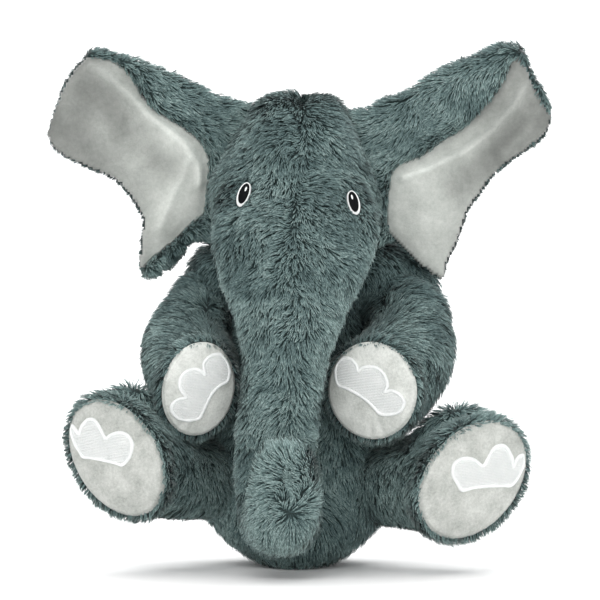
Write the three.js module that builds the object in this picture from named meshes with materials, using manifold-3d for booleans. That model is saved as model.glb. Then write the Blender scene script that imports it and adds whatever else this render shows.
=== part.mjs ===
// Sitting plush elephant, about 0.33 m tall. Millimetres, +Z up, the toy faces -Y and +X is
// the viewer's right. The origin is the middle of the flat seat that it rests on.
// Every sewn limb has a ball-shaped root that turns in a matching socket of its neighbour.
import * as THREE from 'three';
import { mergeVertices } from 'three/addons/utils/BufferGeometryUtils.js';
import Module from 'manifold-3d';

const wasm = await Module();
wasm.setup();

// ---- driving dimensions -------------------------------------------------------------
const GAP = 0.4;            // clearance between touching pieces
const COVER = 6.5;          // fur fabric: knitted backing with its pressed pile
const PAD_DEEP = 3.6;       // how far a velvet sole or palm reaches into its limb
const THREAD = 1.3;         // raised embroidery
const SIDES = 14;           // facets round a limb
const NECK = [0, 4, 160];   // centre of the neck dome
const NECK_R = 45;
const TRUNK_ROOT = [-5, -83, 150];
const TRUNK_ROOT_R = 28.5;
const TRUNK_LIFT = 30;      // degrees that the trunk lifts forward
const TRUNK_MID = [-12, -86, 84];
const TRUNK_MID_R = 25.5;
const TRUNK_SWAY = 18;      // degrees that the lower trunk sways to each side
const TRUNK_TURN = [-9, -111, 36.5];
const TRUNK_TURN_R = 23;
const SHOULDER_R = 25;
const HIP_R = 28;
const LEG_SPLAY = 14;       // degrees that a leg splays outwards
const EAR_BEAD = 5;         // radius of the rolled root of an ear
const EAR_HALF = 6;         // half the thickness of an ear
const EAR_NECK = 9;         // where the ear's full thickness starts, from its root line
const BAG = { c: [0, 10, 19.5], r: [31, 31, 11.5] };

// cross sections: [z, centre x, centre y, half width x, half depth y]
const BODY_ROWS = [
  [4, 0, -3, 38, 51], [12, 0, -1.5, 47.5, 54.5], [22, 0, 0, 57, 56.5], [36, 0, 1.5, 65, 57.5], [58, 0, 3, 70, 58],
  [88, 0, 3, 69, 57], [118, 0, 2, 61, 53], [142, 0, 2, 51, 48], [162, 0, 4, 44.95, 44.95], [176, 0, 4, 42, 42],
  [190, 0, 4, 33.5, 33.5], [200, 0, 4, 20.6, 20.6]];
const SEAT = [0, -4, 31, 45];
const SKULL_ROWS = [
  [301, 1, -8, 18, 19], [292, 1, -8, 29, 33], [277, 0, -8, 38.5, 46], [261, -1, -8, 46.5, 54],
  [245, -1.5, -8, 54, 58], [228, 0, -8, 56, 58], [213, 0, -9, 53, 55], [200, 0, -11, 45, 48], [189, 0, -14, 32, 37]];
const FACE_ROWS = [
  [262, -1, -30, 30, 24], [248, -1.5, -38, 42, 27], [233, -1, -45, 50, 30], [218, 0, -53, 53, 33], [204, -1, -59, 52, 35],
  [191, -2, -65, 48.5, 35.5], [179, -3, -71, 44, 34.5], [167, -3.5, -76, 38.5, 33], [156, -4.2, -80.5, 33.5, 31.5],
  [147, -5.2, -83, 31, 31]];
const TRUNK_UPPER_ROWS = [
  [138, -6, -84, 28, 27.5], [128, -7, -85, 26.6, 26.6], [112, -8.8, -86, 26, 26], [98, -10.6, -86, 26, 26], [84, -12, -86, 26.5, 26]];

// paths of bent limbs: [x, y, z, half width, half height]
const LEGS = {
  left: {
    hip: [-42, -12, 56], path: [[-58, -25, 57.5, 28, 28], [-75, -42, 60.5, 29.5, 29.5], [-92, -60, 66, 32.5, 31.5]],
    sole: [-110.5, -84, 72], facing: [-0.42, -0.89, -0.17], upward: [-0.60, 0, 0.80], half: [43.5, 34],
    toes: [[-31.5, 16.8], [-29.9, 17.5], [-27.3, 15.6], [-24.6, 13.1], [-23.6, 16.3], [-21.4, 19.7], [-18.2, 22.7], [-14.5, 23.3], [-11.3, 21.6], [-8.7, 18.2], [-6.5, 14.4], [-4.7, 12.5], [-2.3, 14.4], [1.4, 16.3], [5.7, 17.1], [10.0, 15.8], [12.3, 12.9], [13.2, 9.6], [11.6, 3.4], [8.9, -0.5], [5.9, -2.9], [2.5, -2.2], [-8.1, -0.9], [-16.6, -0.5], [-21.4, -0.7], [-24.1, 2.4], [-27.3, 6.2], [-29.9, 11.0]],
  },
  right: {
    hip: [42, -12, 53], path: [[58, -24, 54, 28.5, 28.5], [74, -40, 55, 31, 31], [90, -56, 57, 34.5, 33]],
    sole: [109, -84, 58.5], facing: [0.38, -0.91, -0.16], upward: [0.72, 0, 0.69], half: [45, 36],
    toes: [[-15.3, 10.3], [-13.6, 13.0], [-9.6, 14.8], [-5.0, 14.8], [-0.4, 13.0], [4.5, 9.1], [7.7, 13.0], [11.1, 18.3], [15.1, 20.7], [19.2, 20.4], [22.6, 17.2], [24.9, 12.5], [25.8, 6.6], [28.4, 11.4], [31.2, 13.0], [33.5, 12.5], [34.1, 8.2], [31.8, 3.5], [28.4, -1.8], [24.3, -5.0], [19.2, -4.5], [7.7, -3.7], [-1.5, -3.7], [-9.3, -4.7], [-12.4, -0.2], [-15.3, 5.1]],
  },
};
const ARMS = {
  left: {
    hip: [-59, 1, 165], path: [[-65, -13, 152, 27, 27], [-69, -28, 139, 29, 29], [-66, -48, 128, 30, 30.5]],
    sole: [-59.5, -78, 114], facing: [0.28, -0.94, -0.2], upward: [0.1, 0, 1], half: [34, 27.5],
    toes: [[2.2, 15.9], [3.8, 18.8], [7.3, 21.2], [11.3, 21.7], [14.8, 20.7], [17.9, 16.9], [19.1, 12.1], [18.9, 8.3], [17.4, 4.4], [12.8, 2.5], [7.8, -1.8], [4.3, -7.5], [1.7, -12.8], [-0.3, -17.1], [-4.3, -18.4], [-9.4, -18.5], [-14.4, -16.6], [-17.4, -13.3], [-18.1, -9.4], [-16.4, -6.6], [-13.4, -4.7], [-8.9, -3.7], [-11.4, -0.3], [-12.9, 3.5], [-12.6, 7.8], [-10.4, 11.1], [-6.8, 13.3], [-2.3, 13.5], [1.2, 11.6], [3.0, 9.4]],
  },
  right: {
    hip: [61, 1, 165], path: [[69, -13, 153, 27.5, 27.5], [72, -28, 141, 30, 30], [65, -46, 128, 32, 32.5]],
    sole: [46.5, -78, 113], facing: [-0.36, -0.92, -0.15], upward: [0.3, 0, 0.95], half: [35, 33.5],
    toes: [[-23.2, 12.2], [-22.4, 16.5], [-19.5, 19.1], [-16.1, 19.8], [-12.1, 18.8], [-9.0, 15.9], [-7.8, 12.2], [-5.2, 14.4], [-1.1, 15.6], [4.0, 15.4], [8.0, 12.8], [10.6, 8.5], [11.3, 4.3], [9.4, 0.4], [13.2, 1.7], [17.2, 0.6], [20.7, -2.0], [21.8, -5.7], [20.1, -10.0], [16.1, -12.6], [10.9, -13.5], [6.3, -12.9], [2.3, -8.9], [-2.9, -4.7], [-8.6, -1.5], [-14.9, 1.1], [-20.7, 2.7], [-22.7, 7.0]],
  },
};

// ears: outlines in the frontal plane, [x, z], root line from top to bottom
const EAR_Y = -5;
const EARS = {
  left: { root: [[-35, 297], [-64, 220]],
    outer: [[-37.1, 297.6], [-51.2, 302.1], [-62.1, 308.5], [-73, 313.6], [-90.2, 320.7], [-103.7, 326.4], [-115.8, 329.6], [-123.5, 332.8], [-131.8, 332.8], [-140.2, 324.5], [-149.1, 313.6], [-153.6, 302.1], [-157.4, 291.2], [-160, 282.9], [-161.3, 275.2], [-158.7, 266.9], [-153, 261.2], [-144, 256], [-128, 249], [-114.6, 242], [-105, 229.8], [-99.2, 218.9], [-101.1, 210.6], [-101.1, 200.4], [-102.4, 192], [-97.3, 179.9], [-91.5, 181.2], [-83.8, 185], [-75.5, 192.7], [-69.1, 199.1], [-62.1, 205.5]],
    inner: [[-130.6, 323.2], [-137, 319.4], [-145.3, 307.2], [-151.7, 292.5], [-156.2, 277.8], [-157.4, 268.2], [-154.2, 263.7], [-140.2, 259.2], [-128, 253.5], [-115.8, 246.4], [-106.2, 236.2], [-101.1, 226.6], [-99.2, 218.9], [-101.1, 201.6], [-99.8, 189.5], [-91.5, 197.2], [-79.4, 206.8], [-67.2, 218.9], [-59.5, 224], [-57.6, 238.8], [-56.3, 257.3], [-62.1, 270.1], [-75.5, 280.4], [-89, 288.7], [-98.6, 298.3], [-103.7, 308.5], [-113.3, 318.1], [-123.5, 322]] },
  right: { root: [[39.5, 295], [67, 222]],
    outer: [[45.4, 293.2], [56.3, 299.6], [68.5, 303.4], [80.6, 311.7], [96.6, 320.7], [110.1, 325.8], [120.3, 330.9], [131.2, 334.8], [144.6, 334.1], [149.8, 327.7], [154.2, 316.8], [160.6, 307.2], [165.1, 296.4], [166.4, 287.4], [165.1, 281.6], [161.9, 274], [155.5, 267.6], [147.2, 261.8], [139.5, 256.7], [131.2, 249.6], [124.8, 243.2], [117.8, 233.6], [111.4, 224], [106.9, 210.6], [103, 201.6], [97.9, 190.8], [94.7, 178], [80.6, 186.9], [69.8, 195.9], [60.8, 203.6]],
    inner: [[141.4, 322.6], [149.8, 307.2], [156.8, 293.8], [162.6, 282.9], [159.4, 276.5], [151.7, 271.4], [140.8, 263.1], [128.6, 254.8], [119, 242], [110.1, 227.2], [106.9, 213.8], [100.5, 199.1], [95.4, 186.9], [92.2, 183.7], [80.6, 192], [71, 202.9], [60.2, 213.2], [58.9, 226.6], [60.2, 238.8], [61.4, 248.4], [66.6, 254.8], [80.6, 260.5], [93.4, 269.5], [108.2, 279.1], [120.3, 292.5], [129.9, 303.4], [135.7, 315.6]] },
};

// embroidered eyes: centre on the face, outward direction, lean in degrees
const EYES = {
  left: { c: [-34, -67.4, 235.3], out: [-0.46, -0.83, 0.30], lean: 20 },
  right: { c: [37.3, -68.2, 230], out: [0.48, -0.82, 0.30], lean: -12 },
};
const EYE = { white: [4.7, 8.0, 2.2], pupil: [3.5, 6.3, 1.7], glint: [1.1, 1.9, 1.0] };

// ---- small tools --------------------------------------------------------------------
const V = (p) => new THREE.Vector3(...p);
const X = new THREE.Vector3(1, 0, 0), Y = new THREE.Vector3(0, 1, 0), Z = new THREE.Vector3(0, 0, 1);

function solid(geometry) {
  const g = geometry.clone();
  for (const k of Object.keys(g.attributes)) if (k !== 'position') g.deleteAttribute(k);
  const m = mergeVertices(g, 1e-4);
  const p = m.attributes.position;
  const tri = [];
  const idx = m.index.array;
  let volume = 0;
  const a = new THREE.Vector3(), b = new THREE.Vector3(), c = new THREE.Vector3();
  for (let i = 0; i < idx.length; i += 3) {
    if (idx[i] === idx[i + 1] || idx[i + 1] === idx[i + 2] || idx[i] === idx[i + 2]) continue;
    tri.push(idx[i], idx[i + 1], idx[i + 2]);
    a.fromBufferAttribute(p, idx[i]); b.fromBufferAttribute(p, idx[i + 1]); c.fromBufferAttribute(p, idx[i + 2]);
    volume += a.dot(b.cross(c));
  }
  if (volume < 0) for (let i = 0; i < tri.length; i += 3) [tri[i], tri[i + 1]] = [tri[i + 1], tri[i]];
  return new wasm.Manifold(new wasm.Mesh({
    numProp: 3, vertProperties: new Float32Array(p.array), triVerts: new Uint32Array(tri) }));
}

function geometryOf(manifold) {
  const m = manifold.getMesh();
  const g = new THREE.BufferGeometry();
  g.setAttribute('position', new THREE.BufferAttribute(new Float32Array(m.vertProperties), 3));
  g.setIndex(new THREE.BufferAttribute(new Uint32Array(m.triVerts), 1));
  g.computeVertexNormals();
  return g;
}

function placed(geometry, matrix) {
  const g = geometry.clone();
  g.applyMatrix4(matrix);
  return solid(g);
}

// A closed limb through rings {c, u, v, a, b}, with a pole point at each end: a sphere whose
// rows of vertices are moved onto the rings.
function limb(start, rings, end, sides = SIDES) {
  const g = new THREE.SphereGeometry(1, sides, rings.length + 1);
  const p = g.attributes.position;
  for (let row = 0, i = 0; row <= rings.length + 1; row++) {
    for (let k = 0; k <= sides; k++, i++) {
      const t = ((k % sides) / sides) * Math.PI * 2;
      let q;
      if (row === 0) q = V(start);
      else if (row === rings.length + 1) q = V(end);
      else {
        const r = rings[row - 1];
        q = V(r.c).addScaledVector(r.u, Math.cos(t) * r.a).addScaledVector(r.v, Math.sin(t) * r.b);
      }
      p.setXYZ(i, q.x, q.y, q.z);
    }
  }
  return solid(g);
}

const rowRings = (rows, inset = 0) => rows.map(([z, cx, cy, a, b]) => (
  { c: [cx, cy, z], u: X, v: Y, a: a - inset, b: b - inset }));
const ball = (c, r, w = 14, h = 10) => placed(new THREE.SphereGeometry(r, w, h),
  new THREE.Matrix4().makeTranslation(...c).multiply(new THREE.Matrix4().makeRotationX(Math.PI / 2)));
// a socket clears the ball that turns in it by GAP, between their facets
const socket = (c, r) => ball(c, (r + GAP) * 1.04);
// a large box on the +normal side of a plane
function half(point, normal, size = 700) {
  const n = V(normal).normalize();
  const q = new THREE.Quaternion().setFromUnitVectors(Z, n);
  return placed(new THREE.BoxGeometry(size, size, size),
    new THREE.Matrix4().compose(V(point).addScaledVector(n, size / 2), q, new THREE.Vector3(1, 1, 1)));
}
const rad = THREE.MathUtils.degToRad;

const group = new THREE.Group();
const LOOKS = {
  fur: [0x5a706e, 0.95], velvet: [0xc9ccc7, 0.9], thread: [0xeeeeec, 0.7], black: [0x16191b, 0.55],
  fill: [0xe9e6dd, 1], pellet: [0xd8d5c8, 0.8],
};
const largest = (m) => m.decompose().sort((a, b) => b.volume() - a.volume())[0];
function add(name, manifold, kind) {
  const [color, roughness] = LOOKS[kind];
  const mesh = new THREE.Mesh(geometryOf(largest(manifold)), new THREE.MeshStandardMaterial({ color, roughness, metalness: 0 }));
  mesh.name = name;
  group.add(mesh);
}

// ---- limbs: a ball root, a bent tube and an obliquely cut end closed by a velvet sole ----
function limbOf(spec, rootRadius) {
  const n = V(spec.facing).normalize();
  const u = V(spec.upward).addScaledVector(n, -V(spec.upward).dot(n)).normalize();
  const w = new THREE.Vector3().crossVectors(n, u);
  const hip = V(spec.hip), first = V(spec.path[0]);
  const d = first.clone().sub(hip).normalize();
  const at = (s) => V(spec.sole).addScaledVector(n, s).toArray();
  const frame = (t) => {
    const a = u.clone().addScaledVector(t, -u.dot(t)).normalize();
    return { u: a, v: new THREE.Vector3().crossVectors(t, a) };
  };
  function rings(inset, end) {
    const R = rootRadius - inset;
    const list = [-0.78, -0.3, 0.22].map((f) => {
      const s = f * R;
      return { c: hip.clone().addScaledVector(d, s).toArray(), ...frame(d), a: Math.sqrt(R * R - s * s), b: Math.sqrt(R * R - s * s) };
    });
    const points = [...spec.path.map((q) => V(q)), V(spec.sole)];
    spec.path.forEach((q, i) => {
      const before = i ? points[i - 1] : hip;
      const t = points[i + 1].clone().sub(before).normalize();
      list.push({ c: q.slice(0, 3), ...frame(t), a: q[3] - inset, b: q[4] - inset });
    });
    const [A, B] = spec.half;
    for (const [s, less] of end) list.push({ c: at(s), u, v: w, a: A - less - inset, b: B - less - inset });
    return list;
  }
  const back = (inset) => hip.clone().addScaledVector(d, -(rootRadius - inset)).toArray();
  const outer = limb(back(0), rings(0, [[-11, 0.6], [-3, 0], [0, 3]]), at(0));
  const inner = limb(back(COVER), rings(COVER, [[-11, 0.6], [-3, 0], [8, 0]]), at(8));
  const fill = limb(back(COVER + GAP), rings(COVER + GAP, [[-12, 1.2], [-PAD_DEEP - GAP, 0.6]]), at(-PAD_DEEP - GAP));
  const A = spec.half[0] - COVER - GAP, B = spec.half[1] - COVER - GAP;
  const disc = (s) => limb(at(-PAD_DEEP + s), [
    { c: at(-PAD_DEEP + s), u, v: w, a: A, b: B }, { c: at(0.2 + s), u, v: w, a: A, b: B },
    { c: at(2.0 + s), u, v: w, a: A * 0.72, b: B * 0.72 }], at(2.7 + s));
  const pad = disc(0);
  // the embroidery lies in the sole's surface, seen from straight ahead
  const across = X.clone().addScaledVector(n, -X.dot(n)).normalize();
  const up = new THREE.Vector3().crossVectors(n, across).normalize();
  const shape = new THREE.Shape(spec.toes.map(([a, b]) => new THREE.Vector2(a, b)));
  const m = new THREE.Matrix4().makeBasis(across, up, n.clone().negate());
  m.setPosition(V(spec.sole).addScaledVector(n, 14));
  const slug = placed(new THREE.ExtrudeGeometry(shape, { depth: 20, bevelEnabled: false }), m);
  const shrink = limb(at(-9), [{ c: at(-9), u, v: w, a: A - 1.5, b: B - 1.5 }, { c: at(18), u, v: w, a: A - 1.5, b: B - 1.5 }], at(18), 20);
  const toes = largest(slug.intersect(shrink).intersect(disc(0.35 + THREAD)).subtract(disc(0.35)));
  const room = limb(back(-1), rings(-1, [[-11, 0.6], [-3, 0], [1, 2]]), at(1));
  return { outer, room, cover: largest(outer.subtract(inner)), fill, pad, toes };
}
const limbs = {};
for (const side of ['left', 'right']) {
  limbs[`arm_${side}`] = limbOf(ARMS[side], SHOULDER_R);
  limbs[`leg_${side}`] = limbOf(LEGS[side], HIP_R);
}

// ---- trunk: an upper length, a lower length that bends forward, and the upturned tip ----
const trunkRing = ([z, cx, cy, a, b], inset) => ({ c: [cx, cy, z], u: X, v: Y, a: a - inset, b: b - inset });
function upperTrunk(inset, end) {
  const R = TRUNK_ROOT_R - inset;
  const rings = [0.8, 0.35, -0.1].map((f) => ({ c: [TRUNK_ROOT[0], TRUNK_ROOT[1], TRUNK_ROOT[2] + f * R], u: X, v: Y,
    a: R * Math.sqrt(1 - f * f), b: R * Math.sqrt(1 - f * f) }));
  const top = [TRUNK_ROOT[0], TRUNK_ROOT[1], TRUNK_ROOT[2] + R];
  const rows = TRUNK_UPPER_ROWS.map((r) => trunkRing(r, inset));
  if (end) rows.push({ ...rows.at(-1), c: [...rows.at(-1).c.slice(0, 2), rows.at(-1).c[2] - end] });
  return limb(top, [...rings, ...rows], rows.at(-1).c);
}
const cutMid = () => socket(TRUNK_MID, TRUNK_MID_R)
  .add(half(TRUNK_MID, [Math.sin(rad(TRUNK_SWAY + 1.5)), 0, -Math.cos(rad(TRUNK_SWAY + 1.5))]))
  .add(half(TRUNK_MID, [-Math.sin(rad(TRUNK_SWAY + 1.5)), 0, -Math.cos(rad(TRUNK_SWAY + 1.5))]));
const LOWER_PATH = [[-12, -86, 72, 26, 25.5], [-11.6, -87, 56, 26.5, 26], [-10.6, -92.5, 44, 26, 25.5], [-9.4, -101, 37, 25, 24.4]];
const LOWER_DIRECTIONS = [[0, 0, -1], [0.05, -0.22, -1], [0.08, -0.68, -0.73], [0.1, -0.95, -0.3]];
function lowerTrunk(inset, end) {
  const R = TRUNK_MID_R - inset;
  const rings = [0.8, 0.35, -0.1].map((f) => ({ c: [TRUNK_MID[0], TRUNK_MID[1], TRUNK_MID[2] + f * R], u: X, v: Y,
    a: R * Math.sqrt(1 - f * f), b: R * Math.sqrt(1 - f * f) }));
  LOWER_PATH.forEach((q, i) => {
    const t = V(LOWER_DIRECTIONS[i]).normalize();
    const u = X.clone().addScaledVector(t, -X.dot(t)).normalize();
    rings.push({ c: q.slice(0, 3), u, v: new THREE.Vector3().crossVectors(u, t), a: q[3] - inset, b: q[4] - inset });
  });
  const last = rings.at(-1), t = V(LOWER_DIRECTIONS.at(-1)).normalize();
  if (end) rings.push({ ...last, c: V(last.c).addScaledVector(t, end).toArray() });
  return limb([TRUNK_MID[0], TRUNK_MID[1], TRUNK_MID[2] + R], rings, rings.at(-1).c);
}
const TIP_PATH = [[-8.8, -126, 46, 22, 16], [-8.6, -132, 56, 21.5, 15.5], [-8.4, -133.5, 68, 20, 15.5], [-8.2, -133, 78, 16, 13], [-8.2, -132, 84, 8, 7]];
function tipTrunk(inset) {
  const R = TRUNK_TURN_R - inset;
  const d = V(TIP_PATH[0].slice(0, 3)).sub(V(TRUNK_TURN)).normalize();
  const frame = (t) => { const u = X.clone().addScaledVector(t, -X.dot(t)).normalize(); return { u, v: new THREE.Vector3().crossVectors(u, t) }; };
  const rings = [-0.8, -0.35, 0.1].map((f) => ({ c: V(TRUNK_TURN).addScaledVector(d, f * R).toArray(), ...frame(d),
    a: R * Math.sqrt(1 - f * f), b: R * Math.sqrt(1 - f * f) }));
  TIP_PATH.forEach((q, i) => {
    const before = i ? V(TIP_PATH[i - 1].slice(0, 3)) : V(TRUNK_TURN), after = V((TIP_PATH[i + 1] || [-8.2, -130.5, 88]).slice(0, 3));
    const a = Math.max(q[3] - inset, 1.5), b = Math.max(q[4] - inset, 1.5);
    if (q[3] - inset > 0.5) rings.push({ c: q.slice(0, 3), ...frame(after.sub(before).normalize()), a, b });
  });
  const top = V(rings.at(-1).c).addScaledVector(Z, Math.max(1, 2.6 - inset * 0.1)).toArray();
  return limb(V(TRUNK_TURN).addScaledVector(d, -R).toArray(), rings, top);
}
const trunkRootCut = () => socket(TRUNK_ROOT, TRUNK_ROOT_R)
  .add(half(TRUNK_ROOT, [0, 0, -1]))
  .add(half(TRUNK_ROOT, [0, -Math.sin(rad(TRUNK_LIFT + 2)), -Math.cos(rad(TRUNK_LIFT + 2))]));
const upperOuter = upperTrunk(0).subtract(cutMid());
const lowerOuter = lowerTrunk(0, 4).subtract(socket(TRUNK_TURN, TRUNK_TURN_R));
const tipOuter = tipTrunk(0);

// ---- head ---------------------------------------------------------------------------
function headSolid(inset) {
  const skull = limb([1, -8, 304.5 - inset], rowRings(SKULL_ROWS, inset).filter((r) => r.c[2] < 304.5 - inset - 2 && r.c[2] > 183 + inset + 0.5), [0, -17, 183 + inset]);
  const face = limb([-1, -26, 270 - inset], rowRings(FACE_ROWS, inset), [-5.2, -83, 147]);
  return skull.add(face);
}
const earAxis = (ear) => {
  const a = new THREE.Vector3(ear.root[0][0], EAR_Y, ear.root[0][1]), b = new THREE.Vector3(ear.root[1][0], EAR_Y, ear.root[1][1]);
  return { a, b, d: b.clone().sub(a).normalize(), length: a.distanceTo(b), middle: a.clone().add(b).multiplyScalar(0.5) };
};
function rod(a, b, r, sides = 14) {
  const d = b.clone().sub(a), q = new THREE.Quaternion().setFromUnitVectors(Y, d.clone().normalize());
  return placed(new THREE.CylinderGeometry(r, r, d.length(), sides),
    new THREE.Matrix4().compose(a.clone().add(b).multiplyScalar(0.5), q, new THREE.Vector3(1, 1, 1)));
}
const neckCut = ball(NECK, (NECK_R + GAP) * 1.03, 18, 12);
let headCuts = neckCut.add(trunkRootCut());
for (const ear of Object.values(EARS)) {
  const { a, b, d } = earAxis(ear);
  headCuts = headCuts.add(rod(a.clone().addScaledVector(d, -8), b.clone().addScaledVector(d, 8), EAR_BEAD + 1.0));
}
const headOuter = headSolid(0), headInner = headSolid(COVER), headFill = headSolid(COVER + GAP);

// ---- eyes: three flat lenses, each bedded in the one behind it -------------------------
function eyeParts(eye) {
  const n = V(eye.out).normalize();
  const across = X.clone().addScaledVector(n, -X.dot(n)).normalize();
  const up = new THREE.Vector3().crossVectors(n, across).normalize();
  const spin = new THREE.Matrix4().makeBasis(across, up, n.clone().negate()).multiply(new THREE.Matrix4().makeRotationZ(rad(-eye.lean)));
  const one = (offset, r, w, h, grow = 0) => {
    const c = V(eye.c).addScaledVector(n, offset[2]);
    const side = new THREE.Vector3(offset[0], offset[1], 0).applyMatrix4(spin);
    c.add(side);
    const m = new THREE.Matrix4().makeTranslation(c.x, c.y, c.z).multiply(spin)
      .multiply(new THREE.Matrix4().makeScale(r[0] + grow, r[1] + grow, r[2] + grow));
    return placed(new THREE.SphereGeometry(1, w, h), m);
  };
  const side = eye.lean > 0 ? 1 : -1;
  const white = (g) => one([0, 0, 0], EYE.white, 14, 7, g);
  const pupil = (g) => one([0.5 * side, 0.5, 1.5], EYE.pupil, 12, 6, g);
  const glint = (g) => one([1.3 * side, 3.0, 2.6], EYE.glint, 8, 4, g);
  return {
    pocket: white(0.35).add(pupil(0.35)),
    white: white(0).subtract(pupil(0.35)).subtract(glint(0.3)),
    pupil: pupil(0).subtract(glint(0.3)),
    glint: glint(0),
  };
}
const eyes = { left: eyeParts(EYES.left), right: eyeParts(EYES.right) };
for (const e of Object.values(eyes)) headCuts = headCuts.add(e.pocket);

// the head cover is two side panels sewn along the middle seam of the forehead
const seam = (side) => half([side * 0.15 - 0.5, 0, 0], [side, 0, 0]);
const headShell = headOuter.subtract(headInner).subtract(headCuts);
add('head_cover_left', headShell.intersect(seam(-1)), 'fur');
add('head_cover_right', headShell.intersect(seam(1)), 'fur');
add('head_stuffing', headFill.subtract(headCuts), 'fill');
for (const side of ['left', 'right']) {
  add(`eye_${side}_white`, eyes[side].white, 'thread');
  add(`eye_${side}_pupil`, eyes[side].pupil, 'black');
  add(`eye_${side}_glint`, eyes[side].glint, 'thread');
}

// ---- ears -----------------------------------------------------------------------------
function offset(points, d) {
  const n = points.length, out = [];
  let area = 0;
  for (let i = 0; i < n; i++) { const [x0, y0] = points[i], [x1, y1] = points[(i + 1) % n]; area += x0 * y1 - x1 * y0; }
  const s = area > 0 ? 1 : -1;
  for (let i = 0; i < n; i++) {
    const p = points[(i + n - 1) % n], q = points[i], r = points[(i + 1) % n];
    const e1 = new THREE.Vector2(q[0] - p[0], q[1] - p[1]).normalize(), e2 = new THREE.Vector2(r[0] - q[0], r[1] - q[1]).normalize();
    const n1 = new THREE.Vector2(e1.y, -e1.x), n2 = new THREE.Vector2(e2.y, -e2.x);
    const m = n1.clone().add(n2).normalize();
    const k = Math.min(d / Math.max(m.dot(n1), 0.5), d * 1.6);
    out.push([q[0] + s * m.x * k, q[1] + s * m.y * k]);
  }
  return out;
}
function slab(points, back, front) {
  const shape = new THREE.Shape(points.map(([a, b]) => new THREE.Vector2(a, b)));
  const g = new THREE.ExtrudeGeometry(shape, { depth: back - front, bevelEnabled: false });
  return placed(g, new THREE.Matrix4().makeTranslation(0, back, 0).multiply(new THREE.Matrix4().makeRotationX(Math.PI / 2)));
}
for (const [side, ear] of Object.entries(EARS)) {
  const { a, b, d, length, middle } = earAxis(ear);
  const out = new THREE.Vector3(side === 'left' ? -1 : 1, 0, 0).addScaledVector(d, -(side === 'left' ? -d.x : d.x)).normalize();
  const beyond = (s) => half(middle.clone().addScaledVector(out, s).toArray(), out.toArray());
  const plate = slab(ear.outer, EAR_Y + EAR_HALF, EAR_Y - EAR_HALF).intersect(beyond(EAR_NECK));
  const pocket = slab(offset(ear.inner, GAP), EAR_Y + 1, EAR_Y - EAR_HALF - 2).intersect(beyond(EAR_NECK + 3));
  const web = placed(new THREE.BoxGeometry(EAR_NECK + 2, length - 10, 5),
    new THREE.Matrix4().makeBasis(out, d, new THREE.Vector3().crossVectors(out, d))
      .setPosition(middle.clone().addScaledVector(out, (EAR_NECK + 2) / 2)));
  add(`ear_${side}_fur_panel`, plate.subtract(pocket).add(web).add(rod(a, b, EAR_BEAD)), 'fur');
  add(`ear_${side}_wadding`, slab(offset(ear.inner, -1), EAR_Y + 1 - GAP, EAR_Y - 1.6).intersect(beyond(EAR_NECK + 4)), 'fill');
  add(`ear_${side}_velvet_panel`, slab(ear.inner, EAR_Y - 2.0, EAR_Y - 5.2).intersect(beyond(EAR_NECK + 3 + GAP)), 'velvet');
}

// ---- body: two fur panels, stuffing and a pellet bag in the seat -------------------------
const seatRing = (inset) => ({ c: [SEAT[0], SEAT[1], inset], u: X, v: Y, a: SEAT[2] - inset * 0.4, b: SEAT[3] - inset * 0.4 });
const bodySolid = (inset) => limb([0, -4, inset], [seatRing(inset), ...rowRings(BODY_ROWS, inset)
  .filter((r) => r.c[2] > inset + 1 && r.c[2] < NECK[2] + NECK_R - inset - 2)], [0, 4, NECK[2] + NECK_R - inset], 18);
// what the limbs and the ball roots take out of the body
let bodyCuts = socket(ARMS.left.hip, SHOULDER_R).add(socket(ARMS.right.hip, SHOULDER_R))
  .add(socket(LEGS.left.hip, HIP_R)).add(socket(LEGS.right.hip, HIP_R));
for (const name of Object.keys(limbs)) bodyCuts = bodyCuts.add(limbs[name].room);
// room for a leg that splays out by up to LEG_SPLAY degrees
const turnAbout = (pivot, axis, degrees) => new THREE.Matrix4().makeTranslation(...pivot)
  .multiply(new THREE.Matrix4().makeRotationAxis(V(axis).normalize(), rad(degrees)))
  .multiply(new THREE.Matrix4().makeTranslation(-pivot[0], -pivot[1], -pivot[2])).toArray();
for (const [side, s] of [['left', 1], ['right', -1]]) {
  for (const part of [0.5, 1]) {
    bodyCuts = bodyCuts.add(limbs[`leg_${side}`].room
      .transform(turnAbout(LEGS[side].hip, [0.35, -0.355 * s, -0.85 * s], part * (LEG_SPLAY + 1))));
  }
}

const bodyShell = bodySolid(0).subtract(bodySolid(COVER)).subtract(bodyCuts);
const side = (s) => half([0, 5 + s * 0.15, 0], [0, s, 0]);
const bag = (grow) => placed(new THREE.SphereGeometry(1, 14, 8), new THREE.Matrix4().makeTranslation(...BAG.c)
  .multiply(new THREE.Matrix4().makeScale(BAG.r[0] + grow, BAG.r[1] + grow, BAG.r[2] + grow)));
add('body_cover_front', bodyShell.intersect(side(-1)), 'fur');
add('body_cover_back', bodyShell.intersect(side(1)), 'fur');
const bagSlot = bag(0.5).add(placed(new THREE.CylinderGeometry(12, 12, 30, 10),
  new THREE.Matrix4().makeTranslation(BAG.c[0], BAG.c[1], 5).multiply(new THREE.Matrix4().makeRotationX(Math.PI / 2))));
add('body_stuffing', bodySolid(COVER + GAP).subtract(bodyCuts).subtract(bagSlot), 'fill');
add('seat_pellet_bag', bag(0), 'pellet');

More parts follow.
